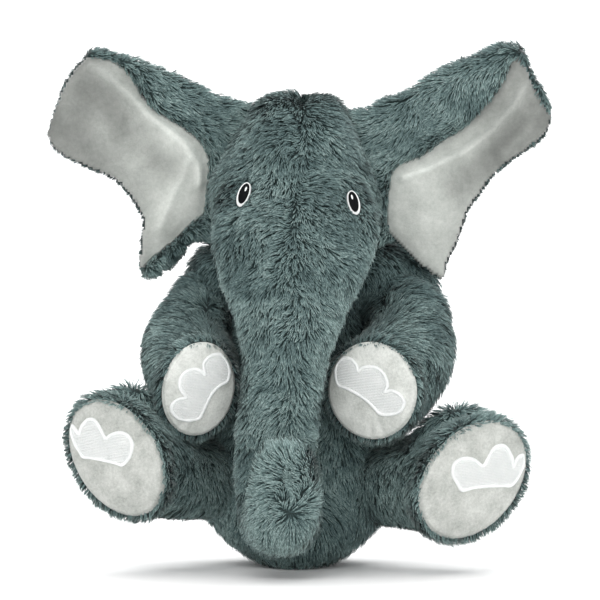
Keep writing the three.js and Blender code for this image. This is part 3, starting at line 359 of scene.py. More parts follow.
def grow(name, P, N, D, length, bodies, lean=(35, 78), width=0.62, stray=0.3, clump=3.4, pull=0.42, seed=1,
         shade=0.0, swirl=0.35, twist=45, limit=None, pale=None):
    """Tapering strands of pile at P, out along N and combed along D, drawn together in tufts. length is in mm, a number or one for each strand."""
    rng = np.random.default_rng(seed)
    n = len(P)
    N = unit(N)
    D = unit(D - N * dot(D, N) + 1e-6)
    L = np.broadcast_to(np.asarray(length, float), (n,)) * rng.uniform(0.72, 1.18, n)
    # tufts
    m = max(8, int(n / max(1.0, clump * clump * 0.55 * THIN)))
    heads = rng.choice(n, m, replace=False)
    kd = kdtree.KDTree(m)
    for i, h in enumerate(heads):
        kd.insert(P[h].tolist(), i)
    kd.balance()
    of = np.fromiter((kd.find(p)[1] for p in P.tolist()), int, n)
    # comb: a slow swirl, a turn for each tuft and a little for each strand
    turn = swirl * noise(P, 38, seed + 5) + 0.6 * swirl * noise(P, 13, seed + 6)
    turn_h = turn[heads] + rng.normal(0, 0.22, m)
    turn = turn + rng.normal(0, stray, n)
    side = np.cross(N, D)

    def comb(idx, ang):
        return D[idx] * np.cos(ang)[:, None] + side[idx] * np.sin(ang)[:, None]
    Ds, Dh = comb(slice(None), turn), comb(heads, turn_h)
    lo, hi = (np.broadcast_to(np.asarray(x, float), (n,)) for x in lean)
    wob = rng.normal(0, 8, n)
    wob_h = rng.normal(0, 6, m)

    def path(P0, N0, D0, L0, a0, a1, t):
        """Where a strand is at t: its lean turns from a0 to a1 degrees along it."""
        s = np.linspace(0, t, 6)[None]
        ang = np.radians(a0[:, None] + (a1 - a0)[:, None] * s)
        up, out = np.trapezoid(np.cos(ang), s, axis=1) if hasattr(np, "trapezoid") else np.trapz(np.cos(ang), s, axis=1), \
            np.trapezoid(np.sin(ang), s, axis=1) if hasattr(np, "trapezoid") else np.trapz(np.sin(ang), s, axis=1)
        return P0 + N0 * (L0 * up)[:, None] + D0 * (L0 * out)[:, None]
    steps = (0.0, 0.38, 0.74, 1.0)
    Lh = L[heads]
    lines = []
    for t in steps:
        own = path(P, N, Ds, L, lo + wob, hi + wob, t) if t else P
        if t:
            head = path(P[heads], N[heads], Dh, Lh, lo[heads] + wob_h, hi[heads] + wob_h, t)[of]
            own = own + (head - own) * (pull * t ** 1.3)
        lines.append(own)
    C = np.stack(lines, 1)                      # n, 4, 3
    C[..., 2] = np.maximum(C[..., 2], 0.4)
    if limit is not None:
        C = limit(C)
    tan = unit(np.gradient(C, axis=1))
    B = unit(np.cross(tan, N[:, None]))
    psi = np.radians(rng.uniform(-twist, twist, n))[:, None, None]
    B = B * np.cos(psi) + np.cross(tan, B) * np.sin(psi)
    face = np.cross(B, tan)
    flip = np.sign(dot(face, N[:, None]))
    flip[flip == 0] = 1
    B = B * flip[:, :1]
    w = width * rng.uniform(0.75, 1.2, n)[:, None, None] * A([0.8, 1.0, 0.72, 0.0])[None, :, None] / 2 * 1
    left, right = C - B * w, C + B * w
    V = np.stack([left[:, 0], right[:, 0], left[:, 1], right[:, 1], left[:, 2], right[:, 2], C[:, 3]], 1).reshape(-1, 3)
    base = np.arange(n)[:, None] * 7
    Q = np.concatenate([base + A([[0, 1, 3, 2]]), base + A([[2, 3, 5, 4]])], 1).reshape(-1, 4)
    T = (base + A([[4, 5, 6]])).reshape(-1, 3)
    o = make(name, V, [Q, T])
    # shading normals lean towards the skin's, which keeps the pile soft
    tn = unit(np.cross(B, tan) )
    sn = unit(0.74 * N[:, None] + 0.34 * tn + 0.16 * tan)
    sn = np.stack([sn[:, 0], sn[:, 0], sn[:, 1], sn[:, 1], sn[:, 2], sn[:, 2], sn[:, 3]], 1).reshape(-1, 3)
    o.data.normals_split_custom_set_from_vertices(sn.astype(np.float32))
    for mt in FUR:
        o.data.materials.append(mt)
    # random tone at two sizes, by tuft and by strand, plus shade, which callers use for painted light and shade by
    # region; where pale is set the root takes the middle tone, painted light against shade near rims
    tone = 1.0 + 0.55 * noise(P, 30, seed + 8) + 0.35 * noise(P, 9, seed + 9) + rng.normal(0, 0.38, m)[of] + rng.normal(0, 0.25, n) + shade
    s = np.clip(np.round(tone), 0, 2).astype(np.int32)
    first = s * 3 if pale is None else s * 3 + pale.astype(np.int32)
    mid = np.stack([first, s * 3 + 1], 1).reshape(-1)
    o.data.polygons.foreach_set("material_index", np.concatenate([mid, s * 3 + 2]).astype(np.int32))
    o.data.update()
    NAP[name] = n
    place(o, bodies)
    return o


def place(o, bodies):
    if isinstance(bodies, str):
        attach(o, bodies)
    else:
        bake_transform(o)


def skin(name, V, Q, bodies, mat, replaces=()):
    o = make(name, V, [Q])
    o.data.materials.append(mat)
    place(o, bodies)
    if replaces:
        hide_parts(*replaces)
    return o


def paint_velvet_light(o, nap):
    """A factor on the velvet's base colour at each vertex: 1 is plain, above 1 is painted highlight, below 1 is painted
    shade, with some random tone mixed in.
    """
    at = o.data.attributes.new("nap", "FLOAT", "POINT")
    at.data.foreach_set("value", np.asarray(nap, np.float32))


X3, Y3, Z3 = A([1.0, 0, 0]), A([0, 1.0, 0]), A([0, 0, 1.0])


def rows_of(rows, inset):
    return [(A([cx, cy, z], float), X3, Y3, a - inset, b - inset) for z, cx, cy, a, b in rows]


def turned_rings(path, dirs, inset):
    out = []
    for (x, y, z, a, b), t in zip(path, dirs):
        t = unit(A(t, float))
        u = unit(X3 - t * (X3 @ t))
        out.append((A([x, y, z], float), u, np.cross(u, t), a - inset, b - inset))
    return out


# ------------------------------------------------------------------ head and trunk skin
skull = loft(A([1, -8, 304.5 - SKIN]), [r for r in rows_of(SKULL_ROWS, SKIN) if r[0][2] < 304.5 - SKIN - 1], A([0, -17, 186 + SKIN]))
face = loft(A([-1, -26, 270 - SKIN]), rows_of(FACE_ROWS + TRUNK_ROWS, SKIN) + turned_rings(TRUNK_LOW, TRUNK_LOW_DIR, SKIN), A([-8.8, -122, 36]))
tip_dirs = [A(TIP_PATH[min(i + 1, 4)][:3], float) - A(TIP_PATH[max(i - 1, 0)][:3], float) for i in range(5)]
tip = loft(A([-8.8, -108, 33]), turned_rings(TIP_PATH, tip_dirs, SKIN), A([-4.8, -131.5, 83]))
turn_ball = loft(A([-9, -112, 13.5 + SKIN]), [(A([-9, -113, 36.5 + f * 18]), X3, Y3, 18.5 * math.sqrt(1 - f * f), 18.5 * math.sqrt(1 - f * f)) for f in (-0.9, -0.6, -0.2, 0.2, 0.6)], A([-9, -113, 53]))
HV, HQ = fuse([skull, face, tip, turn_ball], 2.2, 7)
HN = normals(HV, HQ)
front = smooth(-HV[:, 1], -25, 5) * smooth(HV[:, 2], 95, 130)
dx = HV[:, 0] - seam_x(HV[:, 2])
lobes = smooth(HV[:, 2], 232, 262)
low_seam = smooth(-HV[:, 2], -150, -130) * smooth(HV[:, 2], 70, 84)
push = -(0.9 + 1.4 * lobes + 1.6 * low_seam) * np.exp(-(dx / 3.0) ** 2) + (0.5 + 1.7 * lobes) * np.exp(-((np.abs(dx) - 17) / 9.0) ** 2)
HV = HV + HN * (push * front)[:, None]
# the crease down the upturned tip
tipside = smooth(-HV[:, 1], 136, 142) * smooth(-HV[:, 2], -74, -62) * smooth(HV[:, 2], 30, 42)
HV = HV + HN * (-3.2 * np.exp(-((HV[:, 0] + 3.8) / 2.6) ** 2) * tipside)[:, None]
HN = normals(HV, HQ)
HC = HV[HQ].mean(1)


def head_part(C):
    """0 head, 1 upper trunk, 2 middle, 3 lower bend and tip."""
    part = np.zeros(len(C), int)
    trunk = C[:, 1] < -52
    part[trunk & (C[:, 2] < 172)] = 1
    part[trunk & (C[:, 2] < 116)] = 2
    part[(trunk & (C[:, 2] < 54)) | ((C[:, 1] < -115) & (C[:, 2] < 100))] = 3
    return part


PARTS = [
    ("head", "head", None, ("head_cover_left", "head_cover_right", "head_stuffing")),
    ("trunk_upper", ("head", "trunk_upper"), ((-5, -83, 168), (-6, -84, 132)), ("trunk_upper_cover_left", "trunk_upper_cover_right", "trunk_upper_stuffing")),
    ("trunk_middle", ("trunk_upper", "trunk_lower"), ((-12, -86, 98), (-12, -86, 68)), ("trunk_lower_cover_left", "trunk_lower_cover_right", "trunk_lower_stuffing")),
    ("trunk_tip", ("trunk_lower", "trunk_tip"), ((-9, -104, 40), (-9, -121, 40)), ("trunk_tip_cover_left", "trunk_tip_cover_right", "trunk_tip_stuffing")),
]
part = head_part(HC)
for k, (name, bodies, joint, gone) in enumerate(PARTS):
    v, q = submesh(HV, HQ, part == k)
    skin(name + "_skin", v, q, bodies, SKIN_MAT, gone)

# ------------------------------------------------------------------ body skin
ROUND = {4: 13, 12: 9, 22: 6, 36: 3}                # the pile and the sag of the cloth round off the seat
body = loft(A([0, -4, SKIN * 0.4]), [(A([SEAT[0], SEAT[1], SKIN * 0.4], float), X3, Y3, SEAT[2] - 14, SEAT[3] - 8)] +
            [r for r in rows_of([(z, cx, cy, a - ROUND.get(z, 0), b - 0.5 * ROUND.get(z, 0)) for z, cx, cy, a, b in BODY_ROWS], SKIN) if r[0][2] < 198], A([0, 4, 203]))
def lump(c, r, sides=40):
    """A closed ellipsoid."""
    c = A(c, float)
    rings = [(c + A([0, 0, f * r[2]]), X3, Y3, r[0] * math.sqrt(1 - f * f), r[1] * math.sqrt(1 - f * f)) for f in (0.96, 0.8, 0.5, 0.1, -0.3, -0.7, -0.94)]
    return loft(c + A([0, 0, r[2]]), rings, c - A([0, 0, r[2]]), 40)


BV, BQ = fuse([body, lump((-46, 12, 179), (22, 26, 26)), lump((48, 12, 181), (22, 26, 26)), lump((63, 19, 178), (26, 20, 27))], 2.6, 6)
BV[:, 2] = np.maximum(BV[:, 2], SKIN * 0.4)
skin("body_skin", BV, BQ, "torso", SKIN_MAT, ("body_cover_front", "body_cover_back", "body_stuffing", "seat_pellet_bag"))

# ------------------------------------------------------------------ limb skins
LIMB = {}
EXTRA = {"leg_left": [lump((-103.3, -65.2, 80), (29, 14, 35))], "leg_right": [lump((102.7, -63.5, 67), (33, 15, 35))],
         "arm_right": [lump((72, -10, 156), (23, 24, 23))]}
for name, s in LIMBS.items():
    n = unit(A(s["facing"], float))
    u = unit(A(s["upward"], float) - n * (A(s["upward"], float) @ n))
    w = np.cross(n, u)
    hip, first, sole = A(s["hip"], float), A(s["path"][0][:3], float), A(s["sole"], float)
    d = unit(first - hip)

    def fr(t):
        a = unit(u - t * (u @ t))
        return a, np.cross(t, a)
    R = s["root"] - SKIN
    rings = [(hip + d * f * R, *fr(d), R * math.sqrt(1 - f * f), R * math.sqrt(1 - f * f)) for f in (-0.88, -0.5, -0.1, 0.3)]
    pts = [A(q[:3], float) for q in s["path"]] + [sole]
    for i, q in enumerate(s["path"]):
        t = unit(pts[i + 1] - (pts[i - 1] if i else hip))
        rings.append((pts[i], *fr(t), q[3] - SKIN, q[4] - SKIN))
    a, b = s["half"]
    for k, less in ((-12, SKIN - 0.2), (-5.5, SKIN - 1.4), (-2.8, SKIN - 1.0), (-1.8, SKIN + 1.4), (-1.6, SKIN + 4.0)):
        rings.append((sole + n * k, u, w, a - less, b - less))
    V, Q = fuse([loft(hip - d * R, rings, sole - n * 1.4)] + EXTRA.get(name, []), 2.2, 4)
    # the face under the velvet stays flat
    rel = V - sole
    r_ = np.sqrt(((rel @ u) / (a - 4.4)) ** 2 + ((rel @ w) / (b - 4.4)) ** 2)
    over = np.where(r_ < 1.04, np.maximum(rel @ n + 1.8, 0), 0)
    V = V - np.outer(over, n)
    LIMB[name] = dict(s, n=n, u=u, w=w, hip=hip, sole=sole, V=V, Q=Q, a=a - 4.4, b=b - 4.4, path3=pts)
    kind, side = name.split("_")
    skin(name + "_skin", V, Q, name, SKIN_MAT, (f"{name}_cover", f"{name}_stuffing"))

print("SKINS", len(HV), len(BV), {k: len(v["V"]) for k, v in LIMB.items()})

# ------------------------------------------------------------------ velvet soles and palms
CROWN = 3.2


def pad_height(L, pu, pw):
    """Height of the velvet over the sole's plane: crowned, drawn in at its edge, gathered along its upper edge."""
    r = np.sqrt((pu / L["a"]) ** 2 + (pw / L["b"]) ** 2)
    th = np.arctan2(pw / L["b"], pu / L["a"])
    h = CROWN * (1 - np.clip(r, 0, 1) ** 3.0)
    h = h + 0.35 * np.sin(pu * 0.16 + 1.0) * np.sin(pw * 0.13) * (1 - np.clip(r, 0, 1) ** 2)
    gather = np.exp(-((th - L["pleat"]) / 0.55) ** 2)
    h = h - gather * smooth(r, 0.5, 0.84) * (1 - smooth(r, 0.93, 1.0)) * 0.95 * (0.5 + 0.5 * np.sin(th * 19.0))
    return h - 1.6 * smooth(r, 0.93, 1.0)


PLEAT = {"leg_left": 0.35, "leg_right": -0.1, "arm_left": 2.9, "arm_right": -2.8}
for name, L in LIMB.items():
    L["pleat"] = PLEAT[name]
    rr = np.concatenate([np.linspace(0, 0.86, 26)[1:], np.linspace(0.885, 1.0, 10)])
    th = np.arange(120) / 120 * 2 * math.pi
    r, t = np.meshgrid(rr, th, indexing="ij")
    pu, pw = (L["a"] * r * np.cos(t)).ravel(), (L["b"] * r * np.sin(t)).ravel()
    top = L["sole"] + np.outer(pu, L["u"]) + np.outer(pw, L["w"]) + np.outer(pad_height(L, pu, pw), L["n"])
    edge = th
    eu, ew = L["a"] * 0.97 * np.cos(edge), L["b"] * 0.97 * np.sin(edge)
    under = L["sole"] + np.outer(eu, L["u"]) + np.outer(ew, L["w"]) - 3.0 * L["n"]
    c0 = L["sole"] + L["n"] * pad_height(L, A([0.0]), A([0.0]))[0]
    c1 = L["sole"] - L["n"] * 3.0
    V = np.vstack([top, under, [c0], [c1]])
    m, s_ = len(rr), len(th)
    i, k = np.meshgrid(np.arange(m), np.arange(s_), indexing="ij")
    k2 = (k + 1) % s_
    Q = np.stack([i * s_ + k, (i + 1) * s_ + k, (i + 1) * s_ + k2, i * s_ + k2], -1).reshape(-1, 4)   # row m is the underside's edge
    kk = np.arange(s_)
    T = np.vstack([np.stack([np.full(s_, (m + 1) * s_), kk, (kk + 1) % s_], -1),
                   np.stack([np.full(s_, (m + 1) * s_ + 1), m * s_ + (kk + 1) % s_, m * s_ + kk], -1)])
    # outward faces
    o = make(L["pad"] + "_velvet", V, [Q, T])
    o.data.materials.append(VELVET if name.startswith("leg") else VELVET_PALM_LIT)
    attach(o, name)
    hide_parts(L["pad"] + "_pad")

# ------------------------------------------------------------------ embroidery
def inside_poly(P, poly):
    x, y = P[:, 0], P[:, 1]
    c = np.zeros(len(P), bool)
    n = len(poly)
    for i in range(n):
        (x0, y0), (x1, y1) = poly[i], poly[(i + 1) % n]
        hit = ((y0 > y) != (y1 > y)) & (x < (x1 - x0) * (y - y0) / (y1 - y0 + 1e-12) + x0)
        c ^= hit
    return c


def poly_distance(P, poly, closed=True):
    poly = A(poly, float)
    best = np.full(len(P), 1e9)
    at = np.zeros((len(P), 2))
    for a, b in list(zip(poly, np.roll(poly, -1, 0)))[:None if closed else -1]:
        e = b - a
        t = np.clip(((P - a) @ e) / (e @ e + 1e-12), 0, 1)[:, None]
        q = a + t * e
        d = np.linalg.norm(P - q, axis=1)
        near = d < best
        best[near], at[near] = d[near], q[near]
    return best, at


def rounded(poly, step):
    """A closed outline drawn smoothly through its points, at even steps."""
    p = A(poly, float)
    n = len(p)
    out = []
    for i in range(n):
        p0, p1, p2, p3 = p[i - 1], p[i], p[(i + 1) % n], p[(i + 2) % n]
        for t in np.arange(12) / 12:
            out.append(0.5 * (2 * p1 + (p2 - p0) * t + (2 * p0 - 5 * p1 + 4 * p2 - p3) * t * t + (3 * p1 - p0 - 3 * p2 + p3) * t ** 3))
    out = A(out)
    seg = np.linalg.norm(np.roll(out, -1, 0) - out, axis=1)
    s = np.concatenate([[0], np.cumsum(seg)])
    k = int(s[-1] / step)
    want = np.arange(k) / k * s[-1]
    closed = np.vstack([out, out[:1]])
    return np.stack([np.interp(want, s, closed[:, j]) for j in range(2)], 1)


def stitches(a, b, lift, radius, up, sides=5):
    """Short raised threads from a to b: arched along up."""
    n = len(a)
    t = A([0.0, 0.18, 0.5, 0.82, 1.0])
    h = A([-0.35, 0.7, 1.0, 0.7, -0.35])
    C = a[:, None] + (b - a)[:, None] * t[None, :, None] + up[:, None] * (lift * h)[None, :, None]
    tan = unit(np.gradient(C, axis=1))
    s = unit(np.cross(tan, up[:, None]))
    v = np.cross(s, tan)
    ang = np.arange(sides) / sides * 2 * math.pi
    rad = radius * A([0.55, 1, 1, 1, 0.55])
    P = C[:, :, None] + (s[:, :, None] * np.cos(ang)[None, None, :, None] + v[:, :, None] * np.sin(ang)[None, None, :, None]) * rad[None, :, None, None]
    V = P.reshape(-1, 3)
    per = 5 * sides
    i, k = np.meshgrid(np.arange(4), np.arange(sides), indexing="ij")
    q = np.stack([i * sides + k, i * sides + (k + 1) % sides, (i + 1) * sides + (k + 1) % sides, (i + 1) * sides + k], -1).reshape(1, -1, 4)
    Q = (np.arange(n)[:, None, None] * per + q).reshape(-1, 4)
    return V, Q


for name, L in LIMB.items():
    n = L["n"]
    across = unit(X3 - n * (X3 @ n))
    up = np.cross(n, across)

    def on_pad(p2, extra=0.0):
        q = np.outer(p2[:, 0], across) + np.outer(p2[:, 1], up)
        pu, pw = q @ L["u"], q @ L["w"]
        r = np.sqrt((pu / (L["a"] - 2.0)) ** 2 + (pw / (L["b"] - 2.0)) ** 2)
        k = np.where(r > 1, 1 / np.maximum(r, 1e-6), 1.0)
        pu, pw, q = pu * k, pw * k, q * k[:, None]
        return L["sole"] + q + np.outer(pad_height(L, pu, pw) + extra, n)
    line = rounded(L["toes"], 0.42)
    tang = unit(np.roll(line, -2, 0) - np.roll(line, 2, 0))
    nor = np.stack([tang[:, 1], -tang[:, 0]], 1)
    half = 1.05
    P0, P1 = on_pad(line - nor * half, 0.25), on_pad(line + nor * half, 0.25)
    V1, Q1 = stitches(P0, P1, 0.75, 0.30, np.repeat([n], len(P0), 0))
    # raised ground of the fill, then its rows of short stitches
    poly = L["toes"]
    g = 0.98
    xs = np.arange(-46, 46, g)
    gx, gy = np.meshgrid(xs, xs, indexing="xy")
    gx = gx + (np.arange(len(xs))[:, None] % 2) * g * 0.5
    p2 = np.stack([gx.ravel(), gy.ravel()], 1)
    dist, _ = poly_distance(p2, line[::4])
    p2 = p2[inside_poly(p2, line[::2]) & (dist > 1.3)]
    d2 = A([0.62, 0.16])
    F0, F1 = on_pad(p2 - d2 * 0.75, 0.35), on_pad(p2 + d2 * 0.75, 0.35)
    V2, Q2 = stitches(F0, F1, 0.20, 0.40, np.repeat([n], len(F0), 0), 4)
    V, Q = np.vstack([V1, V2]), np.vstack([Q1, Q2 + len(V1)])
    # the ground: a thin plate over the velvet inside the outline
    st = 1.4
    xs = np.arange(-46, 46, st)
    cx, cy = np.meshgrid(xs, xs, indexing="ij")
    flat = np.stack([cx.ravel(), cy.ravel()], 1)
    m = len(xs)
    i, k = np.meshgrid(np.arange(m - 1), np.arange(m - 1), indexing="ij")
    q = np.stack([i * m + k, (i + 1) * m + k, (i + 1) * m + k + 1, i * m + k + 1], -1).reshape(-1, 4)
    mid = flat[q].mean(1)
    q = q[inside_poly(mid, line[::2])]
    used, back = np.unique(q, return_inverse=True)
    back = back.reshape(q.shape)
    G = on_pad(flat[used], 0.30)
    ground = make("_ground", G, [back])
    o = make(L["pad"] + "_embroidery", np.vstack([V, G]), [np.vstack([Q, back + len(V)])])
    gm = ground.data
    bpy.data.objects.remove(ground)
    bpy.data.meshes.remove(gm)
    o.data.materials.append(THREAD)
    o.data.materials.append(GROUND)
    o.data.polygons.foreach_set("material_index", np.concatenate([np.zeros(len(Q)), np.ones(len(back))]).astype(np.int32))
    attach(o, name)
    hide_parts(L["pad"] + "_toes")

# ------------------------------------------------------------------ eyes: satin stitch on a low mound
head_tree = tree_of(HV, HQ)
EYE_AT = []
for side, e in EYES.items():
    n = unit(A(e["out"], float))
    across = unit(X3 - n * (X3 @ n))
    up = np.cross(n, across)
    t = math.radians(-e["lean"])
    ax, ay = across * math.cos(t) + up * math.sin(t), -across * math.sin(t) + up * math.cos(t)
    s = 1 if e["lean"] > 0 else -1
    hit = head_tree.ray_cast((A(e["c"]) + n * 30).tolist(), (-n).tolist())
    c = A(hit[0]) + n * 2.6
    EYE_AT.append((c, n, ax, ay))

    def mound(cx, cy, rx, ry, lift, crown, nm, mat, node, sides=72, hole=None):
        rr = np.concatenate([np.linspace(0, 0.9, 14)[1:], [0.96, 1.0, 1.0]])
        th = np.arange(sides) / sides * 2 * math.pi
        r, a = np.meshgrid(rr, th, indexing="ij")
        px, py = cx + rx * r * np.cos(a), cy + ry * r * np.sin(a)
        h = lift + crown * (1 - r ** 2)
        h[-1] = lift - 1.6
        # satin threads run across the short way
        h[:-1] = h[:-1] + 0.07 * np.sin(py[:-1] / 0.36 * math.pi) * (r[:-1] < 0.97)
        sag = -((px - 0) ** 2 + (py - 0) ** 2) / 150.0      # follows the round of the face
        P = c + ax * px[..., None] + ay * py[..., None] + n * (h + sag)[..., None]
        V = np.vstack([P.reshape(-1, 3), [c + ax * cx + ay * cy + n * (lift + crown - (cx * cx + cy * cy) / 150.0)], [c + ax * cx + ay * cy + n * (lift - 1.6)]])
        m = len(rr)
        i, k = np.meshgrid(np.arange(m - 1), np.arange(sides), indexing="ij")
        k2 = (k + 1) % sides
        Q = np.stack([i * sides + k, (i + 1) * sides + k, (i + 1) * sides + k2, i * sides + k2], -1).reshape(-1, 4)
        kk = np.arange(sides)
        T = np.vstack([np.stack([np.full(sides, m * sides), kk, (kk + 1) % sides], -1),
                       np.stack([np.full(sides, m * sides + 1), (m - 1) * sides + (kk + 1) % sides, (m - 1) * sides + kk], -1)])
        o = make(nm, V, [Q, T])
        o.data.materials.append(mat)
        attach(o, "head")
        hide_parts(node)
    mound(0, 0, 4.2, 8.1, 0.0, 0.5, f"eye_{side}_ring", THREAD, f"eye_{side}_white")
    mound(0.45 * s, 0.6, 3.3, 6.7, 0.55, 0.45, f"eye_{side}_black", BLACK, f"eye_{side}_pupil")
    mound(1.3 * s, 3.4, 0.62, 1.5, 1.0, 0.25, f"eye_{side}_spark", THREAD, f"eye_{side}_glint", 36)

# ------------------------------------------------------------------ ears
# where the velvet stands up in a ridge under the rolled edge, and sinks beside it
FOLDS = {
    "left": dict(ridge=[(-131, 318), (-118, 310), (-106, 299), (-94, 286), (-73, 270), (-62, 255), (-61, 243)],
                 valley=[(-134, 304), (-120, 293), (-108, 279), (-95, 266), (-80, 250)], wrinkle=24, extra=[(-68, 258), (-77, 238), (-87, 214)]),
    "right": dict(ridge=[(146, 305), (137, 290), (124, 276), (106, 263), (86, 253), (68, 247)],
                  valley=[(159, 292), (147, 279), (132, 266), (118, 253), (104, 240)], wrinkle=26, extra=[(133, 262), (146, 276), (155, 290)]),
}
EAR = {}
for side, e in EARS.items():
    sgn = e["s"]
    step = 2.0
    outer, inner = rounded(e["outer"], 2.0), rounded(e["inner"], 2.0)
    x0, x1 = outer[:, 0].min() - 18, outer[:, 0].max() + 18
    z0, z1 = outer[:, 1].min() - 4, outer[:, 1].max() + 4
    root = A(e["root"], float)
    along = unit(root[1] - root[0])
    out2 = A([along[1], -along[0]])
    if out2[0] * sgn < 0:
        out2 = -out2
    mid2 = root.mean(0)

    def reach(p, mid2=mid2, out2=out2):
        """Distance out from the ear's root line."""
        return (p - mid2) @ out2

    def bend(p, reach=reach, sgn=sgn):
        """How far the ear's middle surface sways backwards (+) from its flat plane."""
        r = np.clip(reach(p), 0, 200)
        return 0.0009 * r ** 2 * 0.8 + 2.2 * np.sin(p[:, 1] * 0.045 + sgn) * smooth(r, 20, 80) - 1.2 * np.sin(p[:, 0] * 0.06) * smooth(r, 20, 60)

    def inner_depth(p, inner=inner):
        """Signed distance inside the velvet outline."""
        d, _ = poly_distance(p, inner[::2])
        return np.where(inside_poly(p, inner), d, -d)

    def front_face(p, edge):
        """Depth in front (-Y) of the middle surface for fur or velvet."""
        di = inner_depth(p)
        roll = 5.6 * smooth(-di, -1.0, 5.0) * smooth(-di, 60, 8)      # the fur edge rolls over the velvet
        return 0.4 + (2.2 + roll * 0.95) * smooth(-di, 0.0, 4.0)

    def thick(edge, cap):
        return cap * np.sqrt(np.clip(1 - (1 - np.clip(edge / 7.0, 0, 1)) ** 2, 0, 1))
    # a grid over the ear, its rim drawn onto the outline; the root runs on into the head
    into = -out2 * 15.0
    whole = rounded(list(map(tuple, e["outer"])) + [tuple(A(e["outer"][-1]) + into * 1.6), tuple(root[1] + into * 1.5 - along * 2), tuple(root[0] + into + along * 6)], 2.0)
    gx, gz = np.meshgrid(np.arange(x0, x1, step), np.arange(z0, z1, step), indexing="ij")
    flat = np.stack([gx.ravel(), gz.ravel()], 1)
    rows_, cols = gx.shape
    i, k = np.meshgrid(np.arange(rows_ - 1), np.arange(cols - 1), indexing="ij")
    q = np.stack([i * cols + k, (i + 1) * cols + k, (i + 1) * cols + k + 1, i * cols + k + 1], -1).reshape(-1, 4)
    d_out, near = poly_distance(flat, whole[::2])
    sd = np.where(inside_poly(flat, whole), d_out, -d_out) - 2.8
    keep = (sd[q] > -1.2).all(1) & (sd[q].mean(1) > 0)
    q = q[keep]
    used, back = np.unique(q, return_inverse=True)
    q = back.reshape(q.shape)
    p = flat[used]
    edge = np.maximum(sd[used], 0)
    # rim vertices are those on an edge used once
    ed = np.sort(np.vstack([q[:, [0, 1]], q[:, [1, 2]], q[:, [2, 3]], q[:, [3, 0]]]), axis=1)
    ue, cnt = np.unique(ed, axis=0, return_counts=True)
    rim = np.zeros(len(p), bool)
    rim[ue[cnt == 1].ravel()] = True
    edge[rim] = 0
    b = bend(p)
    fr_, bk_ = thick(edge, 1.0) * front_face(p, edge), thick(edge, 5.2)
    Vf = np.stack([p[:, 0], EAR_Y + b - fr_, p[:, 1]], 1)
    Vb = np.stack([p[:, 0], EAR_Y + b + bk_, p[:, 1]], 1)
    # back shares the rim with the front
    idx = np.arange(len(p))
    newb = np.where(rim, idx, len(p) + np.cumsum(~rim) - 1)
    V = np.vstack([Vf, Vb[~rim]])
    Qf, Qb = q, newb[q][:, ::-1]
    QA = np.vstack([Qf, Qb])
    if sgn:
        nn = np.cross(Vf[q[:, 1]] - Vf[q[:, 0]], Vf[q[:, 2]] - Vf[q[:, 0]]).sum(0)
        if nn[1] > 0:
            QA = QA[:, ::-1]
    V = relax(V, QA, 2)
    # a soft web joins the ear to the head
    skin(f"ear_{side}_skin", V, QA, f"ear_{side}", SKIN_MAT, (f"ear_{side}_fur_panel", f"ear_{side}_wadding"))
    # velvet: its own cut panel, a little crowned, with a raised ridge under the rolled edge and a soft valley beside
    # it; the nap attribute adds painted highlight on the ridge and painted shade in the valley
    vx, vz = np.meshgrid(np.arange(x0, x1, 1.6), np.arange(z0, z1, 1.6), indexing="ij")
    vf = np.stack([vx.ravel(), vz.ravel()], 1)
    di = inner_depth(vf)
    rows_, cols = vx.shape
    i, k = np.meshgrid(np.arange(rows_ - 1), np.arange(cols - 1), indexing="ij")
    vq = np.stack([i * cols + k, (i + 1) * cols + k, (i + 1) * cols + k + 1, i * cols + k + 1], -1).reshape(-1, 4)
    dw, _ = poly_distance(vf, whole[::2])
    dw = np.where(inside_poly(vf, whole), dw, -dw)
    vq = vq[(di[vq] > -2.6).all(1) & (dw[vq] > 2.2).all(1)]
    used, back = np.unique(vq, return_inverse=True)
    vq = back.reshape(vq.shape)
    p = vf[used]
    dv = di[used]
    rim_in = smooth(dv, -2.0, 5.0)
    # lines that follow the cloth's pull from the tip of the ear to its root
    tip2 = A([(-142, 300), (150, 300)][sgn > 0], float)
    to = unit(mid2 - tip2)
    sp = (p - tip2) @ to
    sq = (p - tip2) @ A([-to[1], to[0]]) * (1 if sgn > 0 else -1)
    fold = FOLDS[side]
    fd, fat = poly_distance(p, fold["ridge"], closed=False)
    ridge = 4.2 * np.exp(-(fd / 3.0) ** 2)
    vd, vat = poly_distance(p, fold["valley"], closed=False)
    valley = -4.2 * np.exp(-(vd / 8.0) ** 2)
    wrinkle = 1.5 * np.sin(sq * 0.34 + 0.02 * sp) * np.exp(-((sp - fold["wrinkle"]) / 20.0) ** 2)
    soft = 0.5 * noise(np.stack([p[:, 0], p[:, 1], 0 * p[:, 0]], 1), 26, 41)
    xd, _ = poly_distance(p, fold["extra"], closed=False)
    crease = np.exp(-(xd / 3.4) ** 2)
    hgt = np.maximum(4.4 + (2.2 + ridge + valley + wrinkle + soft + 2.2 * crease) * rim_in, 2.4)
